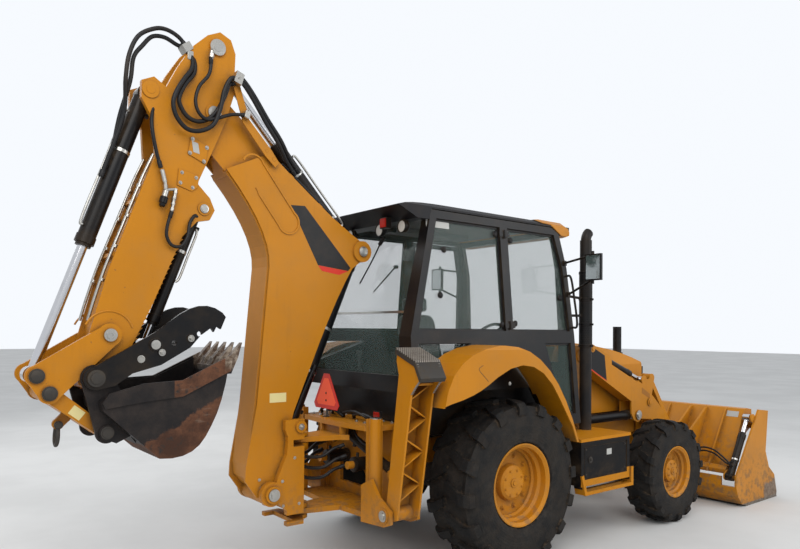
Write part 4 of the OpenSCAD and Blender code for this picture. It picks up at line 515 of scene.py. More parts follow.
class Build:
    """Gathers solids into one mesh."""

    def __init__(self):
        self.bm = bmesh.new()

    def skin(self, rings, closed=False):
        """Joins rings of points, with flat ends unless closed."""
        rows = [[self.bm.verts.new(P(*p)) for p in ring] for ring in rings]
        n = len(rows[0])
        for a, b in zip(rows, rows[1:] + rows[:1] * closed):
            for i in range(n):
                self.bm.faces.new((a[i], a[(i + 1) % n], b[(i + 1) % n], b[i]))
        if not closed:
            self.bm.faces.new(rows[0][::-1])
            self.bm.faces.new(rows[-1])
        return self

    def box(self, lo, hi):
        return self.plate([(lo[0], lo[2]), (hi[0], lo[2]), (hi[0], hi[2]), (lo[0], hi[2])], lo[1], hi[1])

    def plate(self, outline, y0, y1):
        """An [x, z] outline with thickness along Y."""
        return self.skin([[(x, y, z) for x, z in outline] for y in (y0, y1)])

    def lathe(self, at, axis, profile, n=28):
        """Turns a profile of (distance along the axis, radius)."""
        axis, spokes = wheel(axis, n)
        return self.skin([[Vector(at) + axis * d + spoke * r for spoke in spokes] for d, r in profile])

    def band(self, at, axis, r, width, n=40):
        """An open ring round a barrel of radius r."""
        axis, spokes = wheel(axis, n)
        profile = ((0, -1), (0, 0.8), (0.6, 3.5), (width - 0.6, 3.5), (width, 0.8), (width, -1))
        return self.skin([[Vector(at) + axis * d + spoke * (r + h) for d, h in profile] for spoke in spokes], True)

    def rod(self, a, b, r):
        d = Vector(b) - Vector(a)
        return self.lathe(a, d, [(0, r), (d.length, r)], 20)

    def bolt(self, at, axis, r):
        """A washer with a hexagon head and the end of its thread."""
        self.lathe(at, axis, [(-1, r * 1.5), (r * 0.25, r * 1.5)], 20)
        self.lathe(at, axis, [(0, r), (r * 0.85, r), (r * 1.0, r * 0.86)], 6)
        return self.lathe(at, axis, [(0, r * 0.5), (r * 1.3, r * 0.5)], 12)

    def bolts(self, y, r, *points):
        """Bolts at [x, z] on both sides."""
        for s in (-1, 1):
            for x, z in points:
                self.bolt((x, s * y, z), (0, s, 0), r)

    def caps(self, pin, y, *profile, n=28):
        """A turned cap on both ends of a pin."""
        for s in (-1, 1):
            self.lathe((pin[0], s * y, pin[1]), (0, s, 0), profile, n)

    def tube(self, points, r, n=14, steps=7):
        """A hose or pipe through the points, on one smooth curve."""
        line = smooth(points, steps)
        normal = (line[1] - line[0]).orthogonal().normalized()
        turns = [2 * math.pi * k / n for k in range(n)]
        rings = []
        for before, p, after in zip(line[:1] + line, line, line[1:] + line[-1:]):
            ahead = (after - before).normalized()
            normal = (normal - ahead * normal.dot(ahead)).normalized()
            side = ahead.cross(normal)
            rings.append([p + (normal * math.cos(a) + side * math.sin(a)) * r for a in turns])
        return self.skin(rings)

    def make(self, name, bevel=0.0):
        bm = self.bm
        bmesh.ops.recalc_face_normals(bm, faces=bm.faces)
        if bevel:
            edges = [e for e in bm.edges if len(e.link_faces) == 2 and e.calc_face_angle() > math.radians(38)]
            bmesh.ops.bevel(bm, geom=edges, offset=bevel / 1000, offset_type="OFFSET", segments=2,
                            affect="EDGES", clamp_overlap=True)
        mesh = bpy.data.meshes.new(name)
        bm.to_mesh(mesh)
        bm.free()
        mesh.shade_smooth()
        mesh.set_sharp_from_angle(angle=math.radians(40))
        obj = bpy.data.objects.new(name, mesh)
        bpy.context.scene.collection.objects.link(obj)
        return obj


def wheel(axis, n):
    """An axis of length 1, and n spokes round it."""
    axis = Vector(axis).normalized()
    u = axis.orthogonal().normalized()
    v = axis.cross(u)
    turns = [2 * math.pi * i / n for i in range(n)]
    return axis, [u * math.cos(a) + v * math.sin(a) for a in turns]


def smooth(points, steps):
    """Points of a Catmull-Rom curve through the given ones."""
    pts = [Vector(p) for p in points]
    pts = [2 * pts[0] - pts[1]] + pts + [2 * pts[-1] - pts[-2]]
    line = []
    for a, b, c, d in zip(pts, pts[1:], pts[2:], pts[3:]):
        for i in range(steps):
            t = i / steps
            line.append(0.5 * (2 * b + (c - a) * t + (2 * a - 5 * b + 4 * c - d) * t * t
                               + (3 * b - a - 3 * c + d) * t * t * t))
    line.append(pts[-2])
    return line


def piece(build, name, body, material, bevel=0.0, slot=None):
    obj = build.make(name, bevel)
    obj.data.materials.append(M[material])
    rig.slot(obj, slot or SLOTS.get(material, "worn_steel"))
    if body:
        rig.ride(obj, body)
    return obj


def hose(points, r, name, bodies, ends=()):
    """A hose with crimped ends. With two bodies it bends between them, from the first to the second end point."""
    b = Build().tube(points, r)
    for p, q in ((points[0], points[1]), (points[-1], points[-2])):
        b.lathe(p, Vector(q) - Vector(p), [(-10, r * 0.9), (-8, r * 1.25), (34, r * 1.25), (38, r * 1.02)], 16)
    if ends:
        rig.blend(piece(b, name, None, "hose"), *bodies, *(P(*end) for end in ends))
    else:
        piece(b, name, bodies[0], "hose")


def lean(side, x, z, out=0.0):
    """A point on the leaning side of the cab, out millimetres outwards of it."""
    a = math.radians(SIDE_LEAN)
    y = SILL_Y + out * math.cos(a) - (z - SILL_Z) * math.sin(a)
    return (x, side * y, SILL_Z + out * math.sin(a) + (z - SILL_Z) * math.cos(a))


def along(a, b, t, n=0.0):
    """A point [x, z] at distance t from a towards b, n to the left of that line."""
    d = (Vector(b) - Vector(a)).normalized()
    return (a[0] + d.x * t - d.y * n, a[1] + d.y * t + d.x * n)


def inset(outline, m):
    """Moves each side of a convex outline inwards by m."""
    pts = [Vector(p) for p in outline]
    mid = sum(pts, Vector((0, 0))) / len(pts)
    lines = []
    for a, b in zip(pts, pts[1:] + pts[:1]):
        d = (b - a).normalized()
        n = Vector((-d.y, d.x))
        if (mid - a).dot(n) < 0:
            n = -n
        lines.append((a + n * m, d))
    out = []
    for (p, d), (q, e) in zip(lines[-1:] + lines[:-1], lines):
        s = ((q - p).x * e.y - (q - p).y * e.x) / (d.x * e.y - d.y * e.x)
        out.append(tuple(p + d * s))
    return out


def decals():
    """The boom's dark panel with its red foot, and bare plates where labels sit."""
    y = -BOOM_Y
    dark = [(-1541, 2770), (-1422, 2777), (-1003, 2334), (-1026, 2309), (-1302, 2338)]
    red = [(-1302, 2336), (-1026, 2307), (-1110, 2273), (-1266, 2295)]
    plain = [(-1700, 1377), (-1565, 1377), (-1565, 1309), (-1700, 1309)]
    for name, material, outline, slot in (("boom_panel_dark", "vinyl_black", dark, "black_paint"),
                                          ("boom_panel_red", "vinyl_red", red, "lamp_plastic"),
                                          ("boom_plate_plain", "vinyl_pale", plain, "yellow_paint")):
        piece(Build().plate(outline, y - 0.9, y + 2), name, "boom", material, slot=slot)
    b = Build().plate([(-2306, 3112), (-2262, 3100), (-2250, 3030), (-2294, 3038)], y - 9.2, y - 7)
    piece(b, "stick_plate_plain", "stick", "vinyl_grey")
    corners = [along(LINK_PIN, COUPLER_PIN, t, n) for t, n in ((165, 30), (245, 30), (245, -30), (165, -30))]
    piece(Build().plate(corners, y + 5.2, y + 8), "link_plate_plain", "power_link", "vinyl_pale")
    # Dark panels with a red edge on the loader arms, and a plain plate further down
    dark = [(1290, 1690), (1485, 1697), (1681, 1612), (1716, 1368), (1560, 1442), (1330, 1556)]
    red = [(1330, 1554), (1560, 1440), (1716, 1366), (1716, 1360), (1560, 1430), (1330, 1538)]
    plain = [(2330, 1270), (2478, 1196), (2478, 1146), (2330, 1210)]
    for tag, s in SIDES:
        for name, material, outline in (("arm_panel_dark", "vinyl_black", dark), ("arm_panel_red", "vinyl_red", red),
                                        ("arm_plate_plain", "vinyl_ochre", plain)):
            piece(Build().plate(outline, s * 620, s * 622.9), f"{name}_{tag}", "loader_arms", material)
    b = Build()
    for s in (-1, 1):
        seam = ((-486, 1593), (-527, 1564), (-468, 1508), (-430, 1474))
        b.tube([(x, s * (FENDER_Y - 0.6), z) for x, z in seam], 2.2, 8, 3)
    piece(b, "fender_seams", "machine", "dark_steel", slot="black_paint")
    b = Build().box((1050, LOCKER_Y - 2.2, 780), (1120, LOCKER_Y - 0.5, 830))
    piece(b, "locker_plate_plain", "machine", "vinyl_grey")
    lo, hi, back = Vector((3290, 0, 350)), Vector((3650, 0, 1000)), Vector((-0.875, 0, 0.485))
    quad = [lo.lerp(hi, t) + Vector((0, y, 0)) for t, y in ((0.86, -1010), (0.86, -880), (0.95, -880), (0.95, -1010))]
    b = Build().skin([[q + back * d for q in quad] for d in (-2, 1.5)])
    piece(b, "blade_plate_plain", "loader_blade", "vinyl_grey")


def digger_fastenings():
    """Pin caps, washers and bolts on the digger, and the stick's bead and cover plates."""
    b = Build()
    for pin in (CURL_EYE, LINK_PIN):
        b.caps(pin, 184, (-1, 44), (5, 44), (6, 34), (13, 34), (15, 30))
    piece(b, "idler_pin_caps", "idler_link", "dark_steel", 0.8)
    b = Build()
    b.caps(IDLER_PIN, 184, (-1, 40), (7, 40), (8, 26), (13, 26), (13.5, 12), (9, 12))
    b.caps(STICK_PIVOT, 156, (-1, 46), (5, 46), (6, 30), (9, 30))
    b.caps(STICK_TOP, 152, (-1, 56), (5, 56), (6, 30), (8, 30))
    b.caps(THUMB_BASE, 150, (-1, 30), (5, 30), (6, 22), (8, 22))
    b.bolts(148, 9, (-2300, 3125), (-2200, 3082), (-2220, 2985), (-2318, 3028))
    piece(b, "stick_pin_caps", "stick", "bright", 0.6)
    b = Build()
    arc = [math.radians(18 + 137 * k / 12) for k in range(13)]
    for y in (-BOOM_Y, BOOM_Y):
        b.tube([(IDLER_PIN[0] + 150 * math.cos(a), y, IDLER_PIN[1] + 150 * math.sin(a)) for a in arc], 6, 8, 2)
    piece(b, "stick_arc_bead", "stick", "yellow")
    b = Build()
    for s in (-1, 1):
        b.plate([(-2392, 2912), (-2248, 2880), (-2262, 2800), (-2300, 2770), (-2402, 2800)], s * 139, s * 147)
    piece(b, "stick_cover_plate", "stick", "yellow", 1.2)
    b = Build()
    b.bolts(147, 8, (-2370, 2888), (-2272, 2866), (-2380, 2818), (-2296, 2796))
    piece(b, "stick_cover_bolts", "stick", "bright")
    b = Build()
    b.caps(NOSE_PIN, 170, (-1, 40), (6, 40), (7, 32), (12, 32), (13, 26))
    b.bolts(BOOM_Y, 8, (-1775, 760), (-1760, 700), (-1690, 700), (-1640, 760))
    piece(b, "boom_pin_caps", "boom", "bright", 0.8)
    b = Build()
    b.caps(FOOT_PIN, 228, (-1, 44), (5, 44), (6, 26), (14, 26), (15, 20))
    b.bolts(216, 16, BOOM_BASE)
    b.bolts(198, 8, (-1612, 560), (-1480, 560), (-1520, 900), (-1620, 740))
    for z in (398, 1108):
        b.lathe((-1400, 0, z), (0, 0, 1), [(0, 44), (12, 44), (13, 30), (20, 30)])
    piece(b, "casting_pin_caps", "swing_casting", "bright", 0.8)
    b = Build()
    b.bolts(242, 15, (-2330, 1780), (-2520, 1690))
    b.caps((-2648, 1650), 232, (-1, 24), (3, 24), (4, 18), (2, 16), n=24)
    b.caps(THUMB_EYE, 242, (-1, 30), (5, 30), (6, 20), (9, 20))
    piece(b, "thumb_bolts", "thumb", "bright", 0.6)
    b = Build()
    b.caps(BUCKET_PIN, 242, (-1, 52), (7, 52), (8, 34), (16, 34), (17, 28))
    b.caps(COUPLER_PIN, 212, (-1, 40), (6, 40), (7, 30), (13, 30))
    piece(b, "bucket_pin_caps", "dig_bucket", "dark_steel", 0.8)


def machine_fastenings():
    """Bolts on the frame, wheel nuts, and the loader's pin caps."""
    b = Build()
    for s in (-1, 1):
        for z in (560, 700, 860, 1000):
            b.bolt((-1066, s * 528, z), (-1, 0, 0), 9)
        for x in (-980, -800):
            for y in (210, 320, 430):
                b.bolt((x, s * y, 1125), (0, 0, 1), 11)
        b.lathe((-1130, s * LEG_Y, LEG_Z), (-1, 0, 0), [(-1, 40), (6, 40), (7, 26), (14, 26)])
        b.lathe((-1048, s * 560, 1190), (0, 0, 1), [(-1, 44), (6, 44), (8, 38)])
    b.bolts(FENDER_Y, 9, (-203, 1450))
    b.bolts(660, 10, (1100, 1560), (1300, 1560), (1100, 860), (1300, 860))
    piece(b, "frame_bolts", "machine", "bright")
    # Wheel, count and circle of its nuts, circle of the hub's bolts, and how far disc and hub stand out
    wheels = ((REAR_WHEEL, "rear", 10, 205, 100, 50, 109), (FRONT_WHEEL, "front", 8, 150, 78, 40, 94))
    for tag, s in SIDES:
        for (x, y, z), tyre, count, nut_r, hub_r, disc, hub in wheels:
            b = Build()
            for n, phase, r, out, size in ((count, 0, nut_r, disc, 14), (8, 0.5, hub_r, hub, 8)):
                for k in range(n):
                    a = 2 * math.pi * (k + phase) / n
                    b.bolt((x + r * math.cos(a), s * (y + out), z + r * math.sin(a)), (0, s, 0), size)
            b.lathe((x, s * (y + hub), z), (0, s, 0), [(-1, 34), (8, 34), (9, 18), (16, 18)])
            piece(b, f"{tyre}_wheel_nuts_{tag}", f"{tyre}_wheel_{tag}", "rim", 0.6)
    pivots = ((1250, 1620, 34, 622), (2470, 1110, 34, 630), (1480, 1680, 26, 628))
    others = ((2260, 990, 40, 634), (3020, 360, 34, 622))
    for name, material, pins in (("loader_pivot_caps", "yellow_arm", pivots), ("loader_pin_caps", "bright", others)):
        b = Build()
        for x, z, r, y in pins:
            b.caps((x, z), y, (-1, r + 8), (5, r + 8), (6, r - 6), (12, r - 6), (13, r - 11))
        piece(b, name, "loader_arms", material, 0.8)


def rings_and_lines():
    """Gland bands and steel pipes on the rams, and the pipes along the stick."""
    def ring(b, base, eye, t, y, r, width, n):
        x, z = along(base, eye, t)
        b.band((x, y, z), (eye[0] - base[0], 0, eye[1] - base[1]), r, width, n)

    # Ram, its pins, its radius, where its bands are, and the pipe's start, end, distance and side
    for ram, base, eye, r, bands, (t0, t1, n, y) in (
            ("boom", BOOM_BASE, NOSE_PIN, 66, (420, 780), (260, 1240, 82, -34)),
            ("stick", NOSE_PIN, STICK_TOP, 60, (330, 760), (230, 900, -78, -30)),
            ("curl", CURL_BASE, CURL_EYE, 56, (420,), (160, 980, -73, -30)),
            ("thumb", THUMB_BASE, THUMB_EYE, 40, (300,), (120, 520, 54, -20))):
        b = Build()
        for t in bands:
            ring(b, base, eye, t, 0, r, 22, 40)
        route = ((t0, 0.72), (t0 + 40, 1), ((t0 + t1) / 2, 1), (t1 - 40, 1), (t1, 0.72))
        pts = [along(base, eye, t, n * k) for t, k in route]
        b.tube([(x, y, z) for x, z in pts], 9)
        piece(b, f"{ram}_ram_pipe", f"{ram}_barrel", "bright")
    route = [(-2545, 2990), (-2602, 2860), (-2640, 2760), (-2736, 2500), (-2832, 2240), (-2900, 2020), (-2935, 1890)]
    clip = [(0, 12), (0.5, 16), (19, 16), (20, 12)]
    for tag, s in SIDES:
        b = Build().tube([(x, s * 100, z) for x, z in route], 10)
        for t in (0.12, 0.36, 0.6, 0.86):
            b.lathe((-2600 - 300 * t, s * 100, 2860 - 840 * t), (0.335, 0, 0.942), clip, 20)
        piece(b, f"stick_pipe_{tag}", "stick", "bright")
    b = Build()
    for y in (-JAW_Y, JAW_Y):
        ring(b, JAW_BASE, JAW_EYE, 190, y, 38, 18, 32)
    piece(b, "jaw_ram_bands", "jaw_barrels", "bright")


def elbow_hoses():
    """The hoses over the boom's end and the stick's head, with their clamps and brackets."""
    # Carrier bracket beside the boom's end, and the clamps
    b = Build().plate([(-1660, 3060), (-1720, 3140), (-1900, 3330), (-1975, 3560), (-1990, 3620), (-2035, 3600),
                       (-2020, 3530), (-1948, 3300), (-1770, 3090), (-1690, 3020)], -173, -166)
    b.rod((-1700, -174, 3080), (-1700, -141, 3080), 16)
    b.rod((-1760, -174, 3130), (-1760, -141, 3130), 12)
    piece(b, "hose_carrier", "boom", "yellow", 1.0)
    b = Build().plate([(-2040, 3560), (-1985, 3540), (-1962, 3618), (-2017, 3638)], -226, -164)
    b.bolt((-2002, -226, 3590), (0, -1, 0), 8)
    piece(b, "hose_clamp_big", "boom", "bright", 3.0)
    b = Build().plate([(-1955, 3330), (-1920, 3318), (-1908, 3370), (-1943, 3382)], -216, -164)
    piece(b, "hose_clamp_small", "boom", "bright", 3.0)
    b = Build().plate([(-2300, 3740), (-2352, 3700), (-2384, 3742), (-2332, 3784)], -150, -70)
    b.box((-2340, -146, 3660), (-2300, -104, 3720))
    piece(b, "hose_clamp_head", "stick", "bright", 3.0)
    # From the boom's top to the carrier
    lower = [(-1500, -112, 3010), (-1592, -150, 3092), (-1690, -206, 3196), (-1790, -210, 3322), (-1893, -210, 3470),
             (-1965, -206, 3560), (-2010, -196, 3590)]
    for k, (dx, dz) in enumerate(((0, 0), (32, 22))):
        path = [(x + dx * (1 - i / 6), y, z + dz) for i, (x, y, z) in enumerate(lower)]
        hose(path, 15, f"boom_top_hose_{k + 1}", ["boom"])
    # Big loops from the carrier round to the stick's head, where they come in to y -112
    outer = [(-2010, 3590), (-2060, 3572), (-2104, 3480), (-2132, 3350), (-2180, 3232), (-2271, 3172), (-2360, 3169),
             (-2428, 3229), (-2456, 3315), (-2437, 3398), (-2380, 3500), (-2320, 3590), (-2306, 3670), (-2340, 3742)]
    inner = [(-2010, 3566), (-2056, 3540), (-2094, 3440), (-2141, 3345), (-2198, 3277), (-2275, 3241), (-2351, 3260),
             (-2399, 3323), (-2406, 3381), (-2362, 3480), (-2298, 3570), (-2290, 3660), (-2322, 3722)]
    for k, (path, y) in enumerate(((outer, -206), (inner, -178))):
        n = len(path) - 1
        pts = [(x, y + (-112 - y) * max(0.0, (i / n - 0.72) / 0.28), z) for i, (x, z) in enumerate(path)]
        hose(pts, 15, f"elbow_hose_{k + 1}", ["boom", "stick"], (pts[3], pts[-4]))
    # Thin hose from the small clamp to the head, and its fitting
    thin = [(-2188, 3690), (-2192, 3620), (-2214, 3560), (-2275, 3475), (-2301, 3375), (-2280, 3299), (-2223, 3262),
            (-2145, 3285), (-2044, 3330), (-1939, 3348)]
    pts = [(x, HOSE_Y - min(24, 5 * i), z) for i, (x, z) in enumerate(thin)]
    hose(pts[::-1], 12, "elbow_hose_thin", ["boom", "stick"], ((-2044, -196, 3330), (-2275, -196, 3475)))
    b = Build().rod((-2188, HOSE_Y, 3684), (-2180, -168, 3745), 15)
    b.rod((-2180, -170, 3740), (-2176, -150, 3762), 12)
    b.lathe((-2184, -170, 3712), (0.12, 0.06, 1), [(-12, 19), (12, 19)], 6)
    piece(b, "head_fitting", "stick", "bright", 0.8)
    # Arches over the head, down to the pipe on the bucket's ram
    for k, (y, lift, back, end) in enumerate(((-128, 18, 20, 640), (-92, -22, -18, 420))):
        path = [(-2345, 3746), (-2400, 3780 + lift), (-2480, 3806 + lift), (-2560, 3790 + lift),
                (-2640 - back, 3715 + lift), (-2696 - back, 3600), (-2716 - back, 3440),
                along(CURL_BASE, CURL_EYE, 230, -88 + back * 0.4), along(CURL_BASE, CURL_EYE, end, -62)]
        pts = [(x, across, z) for (x, z), across in zip(path, [y] * 7 + [y * 0.6, -44])]
        hose(pts, 14, f"head_arch_{k + 1}", ["stick", "curl_barrel"], ((-2640, y, 3700), (-2716, y, 3440)))


def thumb_hoses():
    """Valve block, couplings and the hose to the thumb's ram."""
    y = HOSE_Y
    b = Build().rod((-2510, y + 6, 2880), (-2492, y, 2800), 15)
    b.rod((-2492, y, 2806), (-2484, y, 2740), 11)
    b.lathe((-2488, y, 2770), (0.1, 0, -1), [(-14, 17), (14, 17)], 6)
    b.rod((-2486, y, 2752), (-2418, y, 2764), 10)
    b.rod((-2418, y, 2768), (-2446, y, 2612), 11)
    for t in (0.15, 0.4, 0.65, 0.9):
        b.lathe((-2418 - 28 * t, y, 2768 - 156 * t), (0.18, 0, 1), [(-9, 16), (9, 16)], 6)
    b.rod((-2484, y, 2744), (-2496, y, 2702), 19)
    b.box((-2500, y + 4, 2728), (-2470, 1 - BOOM_Y, 2756))
    b.box((-2440, y + 4, 2690), (-2416, 1 - BOOM_Y, 2712))
    piece(b, "thumb_couplings", "stick", "bright", 0.8)
    b = Build()
    b.lathe((-2494, y, 2706), (-0.25, 0, -0.97), [(0, 22), (4, 26), (44, 26), (48, 20), (66, 18), (70, 12)], 24)
    piece(b, "thumb_valve", "stick", "black", 0.8)
    path = [(-2447, 2606), (-2470, 2530), (-2476, 2450), (-2440, 2392), (-2378, 2392), (-2336, 2460), (-2316, 2550),
            (-2275, 2610), (-2240, 2600)]
    pts = [(x, y + 52 * max(0, i - 5) / 3, z) for i, (x, z) in enumerate(path)]
    hose(pts, 11, "thumb_hose", ["stick", "thumb_barrel"], ((-2440, y, 2392), (-2316, -140, 2550)))
    hose([(-2560, -120, 3300), (-2580, -168, 3160), (-2556, -176, 3010), (-2522, -170, 2900)], 12, "valve_feed",
         ["stick"])


def low_hoses():
    """The hoses at the boom's foot, through the swing joint, to the legs' rams and to the jaw's rams."""
    for k, y in enumerate((-100, 100)):
        path = [(-1436, y * 0.9, 880), (-1500, y, 940), (-1522, y, 1006), (-1510, y, 1110), (-1462, y, 1220),
                (-1400, y * 0.92, 1350), (-1290, y * 0.82, 1560)]
        hose(path, 13, f"foot_hose_{k + 1}", ["swing_casting", "boom_barrel"], (path[3], path[5]))
    for k, (y, z) in enumerate(((-95, 900), (95, 900), (-115, 820), (115, 820), (-100, 740))):
        path = [(-1060, y * 1.5, z + 40), (-1140, y * 1.4, z + 20), (-1230, y * 1.2, z - 30), (-1330, y, z - 30),
                (-1420, y, z), (-1462, y, z + 20)]
        hose(path, 13, f"swing_hose_{k + 1}", ["machine", "swing_casting"], (path[1], path[4]))
    for tag, s in SIDES:
        path = [(-960, s * 140, 1078), (-990, s * 190, 1060), (-1004, s * 250, 1020), (-990, s * 300, 975),
                (-950, s * 330, 945)]
        hose(path, 9, f"leg_hose_{tag}", ["machine", f"leg_barrel_{tag}"], (path[1], path[3]))
    for tag, s in SIDES:
        for k, dz in enumerate((0, -36)):
            x, z = along(JAW_BASE, JAW_EYE, 100 + 60 * k, 30)
            path = [(3262, s * 640, 520 + dz), (3250, s * 720, 560 + dz), (3235, s * 820, 588 + dz),
                    (3225, s * 930, 575 + dz), (3224, s * 1020, 520 + dz), (3228, s * 1080, 470 + dz * 0.6),
                    (x - 6, s * JAW_Y, z + 8)]
            hose(path, 9, f"jaw_hose_{tag}_{k + 1}", ["loader_blade", "jaw_barrels"], (path[4], path[6]))


def shackle():
    """The bow shackle that hangs in the lifting eye."""
    x, z = LIFTING_EYE
    b = Build().rod((x, -46, z), (x, 46, z), 14)
    b.lathe((x, -46, z), (0, -1, 0), [(0, 22), (12, 22)], 6)
    half = [(x, -34, z + 6), (x - 2, -36, z - 30), (x - 4, -44, z - 72), (x - 6, -34, z - 108)]
    b.tube(half + [(x - 7, 0, z - 128)] + [(u, -v, w) for u, v, w in half[::-1]], 12)
    b.caps(LIFTING_EYE, 24, (0, 22), (1, 25), (19, 25), (20, 22), n=24)
    piece(b, "lifting_shackle", "power_link", "dark_steel", 0.8)


def lamps():
    """Work lamps, head lamps, red rear lamps and the slow vehicle sign."""
    shell, lens, red, rims = Build(), Build(), Build(), Build()
    for s in (-1, 1):
        for y in (210, 500):
            at, x = (REAR_X + 150, s * y, ROOF_Z - 182), REAR_X + 125
            shell.lathe(at, (-1, 0, 0), [(-4, 22), (4, 40), (24, 50), (56, 52), (60, 50), (60, 45), (50, 44)], 32)
            lens.lathe(at, (-1, 0, 0), [(48, 44.5), (54, 44.5), (57, 30), (58, 2)], 32)
            shell.rod((x, s * y, ROOF_Z - 150), (x, s * y, ROOF_Z - 120), 10)
            shell.box((x - 15, s * y - 30, ROOF_Z - 150), (x + 15, s * y + 30, ROOF_Z - 138))
        x = FRONT_X + 41
        shell.box((x - 3, s * 497, ROOF_Z - 96), (x + 8, s * 633, ROOF_Z - 28))
        lens.box((x + 4, s * 505, ROOF_Z - 90), (x + 12, s * 625, ROOF_Z - 34))
        shell.box((2699, s * 242, 1292), (2716, s * 378, 1408))
        lens.box((2712, s * 250, 1300), (2724, s * 370, 1400))
        red.box((REAR_X + 18, s * 318, ROOF_Z - 182), (REAR_X + 60, s * 392, ROOF_Z - 112))
        rims.box((REAR_X + 26, s * 309, ROOF_Z - 190), (REAR_X + 72, s * 401, ROOF_Z - 103.5))
        red.box((-880, s * 292, 1160), (-868, s * 368, 1205))
        rims.box((-875, s * 285, 1152), (-850, s * 375, 1213))
        rims.box((-862, s * 318, 1125), (-850, s * 342, 1155))
    first = piece(shell, "lamp_shells", "machine", "black", 2.0)
    piece(lens, "lamp_lenses", "machine", "lens", 2.0)
    piece(red, "rear_lamp_lenses", "machine", "red", 3.0)
    piece(rims, "rear_lamp_rims", "machine", "black", 2.0)
    outline = [(-40, 230), (40, 230), (190, -20), (165, -60), (-165, -60), (-190, -20)]
    for name, material, scale, x0, x1, bevel in (("sign_border", "vinyl_red", 1.0, -1010, -1004, 0.5),
                                                 ("sign_centre", "amber", 0.76, -1011.2, -1009, 0.0)):
        b = Build().skin([[(x, 190 + u * scale, 1325 + (v - 75) * scale) for u, v in outline] for x in (x0, x1)])
        piece(b, name, "machine", material, bevel)
    b = Build().box((-1004, 180, 1125), (-998, 200, 1340))
    b.box((-1030, 165, 1125), (-985, 215, 1131))
    for z in (1260, 1320):
        b.bolt((-1011, 190, z), (-1, 0, 0), 6)
    piece(b, "sign_post", "machine", "dark_steel", 0.6, slot="iron")
    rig.replaces(first, "lamps")


def windows():
    """Rubber seals, hinges and knobs on the cab's windows."""
    foot, head = SILL_Z + 45, ROOF_Z - 110
    rear = [(REAR_X + 80, foot), (REAR_X + 320, head), (DOOR_X - 45, head), (DOOR_X - 45, foot)]
    front = [(DOOR_X + 45, foot), (DOOR_X + 45, head), (FRONT_X - 190, head), (FRONT_X - 100, 2410),
             (FRONT_X - 62, foot)]
    low = [(640, SILL_Z - 60), (FRONT_X - 60, SILL_Z - 60), (FRONT_X - 60, 1110), (830, 1110)]
    b = Build()
    for side, outline in ((-1, rear), (-1, front), (-1, low), (1, rear)):
        within = inset(outline, 17)
        for quad in zip(outline, outline[1:] + outline[:1], within[1:] + within[:1], within):
            b.skin([[lean(side, x, z, d) for x, z in quad] for d in (-27, -20)])
    piece(b, "window_seals", "machine", "hose", 1.5)
    b = Build()
    origin, outside, above = (Vector(lean(-1, 0, z, out)) for z, out in ((0, 0), (0, 1), (1, 0)))
    for x, z in ((DOOR_X - 90, 2660), (-480, 2480), (-545, 2120), (DOOR_X - 75, 1900), (DOOR_X + 90, 2620),
                 (DOOR_X + 85, 1910), (FRONT_X - 150, 2150)):
        b.lathe(lean(-1, x, z, -27), outside - origin, [(0, 12), (6, 12), (7, 24), (18, 26), (24, 18), (26, 6)], 24)
    for z in (2640, 1868):
        quad = [(DOOR_X - 60, z), (DOOR_X + 60, z), (DOOR_X + 60, z + 44), (DOOR_X - 60, z + 44)]
        b.skin([[lean(-1, u, v, d) for u, v in quad] for d in (0, 9)])
        b.lathe(lean(-1, DOOR_X, z - 14, 12), above - origin, [(0, 9), (72, 9)], 16)
    piece(b, "window_hardware", "machine", "black", 1.0, slot="iron")


def cab_outside():
    """Wipers, the bar across the rear window, lining, grab rails, mirror glass and the roof's visor."""
    z = 1985
    x = REAR_X + 22 + (z - SILL_Z) * 270 / 985
    b = Build().box((x - 4, -585, z - 9), (x + 6, 585, z + 9))
    piece(b, "rear_window_bar", "machine", "bright", 2.0)
    b = Build().tube([(x + 105, -120, 2560), (x + 60, -60, 2410), (x + 12, 40, 2230)], 6)
    b.rod((x + 116, -150, 2600), (x + 100, -110, 2545), 16)
    b.box((-560, -80, ROOF_Z - 160), (-500, 80, ROOF_Z - 120))
    piece(b, "rear_wiper", "machine", "black", 1.0)
    b = Build().box((-540, -560, ROOF_Z - 62), (900, 560, ROOF_Z - 50))
    for s in (-1, 1):
        b.box((-300, s * 180, ROOF_Z - 96), (600, s * 420, ROOF_Z - 60))
    piece(b, "head_lining", "machine", "lining", 8.0)
    rail = ((24, 1880, 0), (14, 1900, 50), (34, 2140, 56), (54, 2330, 50), (60, 2350, 0))
    for tag, s in SIDES:
        b = Build().tube([lean(s, FRONT_X - back, z, out) for back, z, out in rail], 10)
        piece(b, f"grab_rail_{tag}", "machine", "black")
    b = Build()
    for s in (-1, 1):
        b.box((928.6, s * 952, 2302), (931, s * 1092, 2508))
    piece(b, "mirror_glass", "machine", "mirror", 1.0)
    crown = [(640, 2838), (700, 2846), (1010, 2843), (1076, 2806), (1094, 2768), (1090, 2722), (1040, 2707),
             (960, 2713), (880, 2758), (800, 2806)]
    cheek = [(700, 2806), (740, 2809), (1004, 2807), (1062, 2788), (1080, 2758), (1077, 2728), (1036, 2713),
             (962, 2718), (886, 2761), (810, 2801)]
    rings = ((-658, cheek), (-604, crown), (604, crown), (658, cheek))
    b = Build().skin([[(x, y, z) for x, z in outline] for y, outline in rings])
    piece(b, "roof_visor", "machine", "yellow", 5.0)
    quad = [(-638, 2652), (-638, 2712), (-400, 2712), (-400, 2652)]
    b = Build().skin([[lean(-1, x, z, d) for x, z in quad] for d in (-26.6, -24)])
    piece(b, "pane_plate_plain", "machine", "vinyl_grey")
    b = Build().rod(lean(1, -158, 2213, 6), lean(1, 89, 2470, 6), 7)
    b.rod(lean(1, 89, 2470, -20), lean(1, 89, 2470, 16), 18)
    piece(b, "side_wiper", "machine", "black")


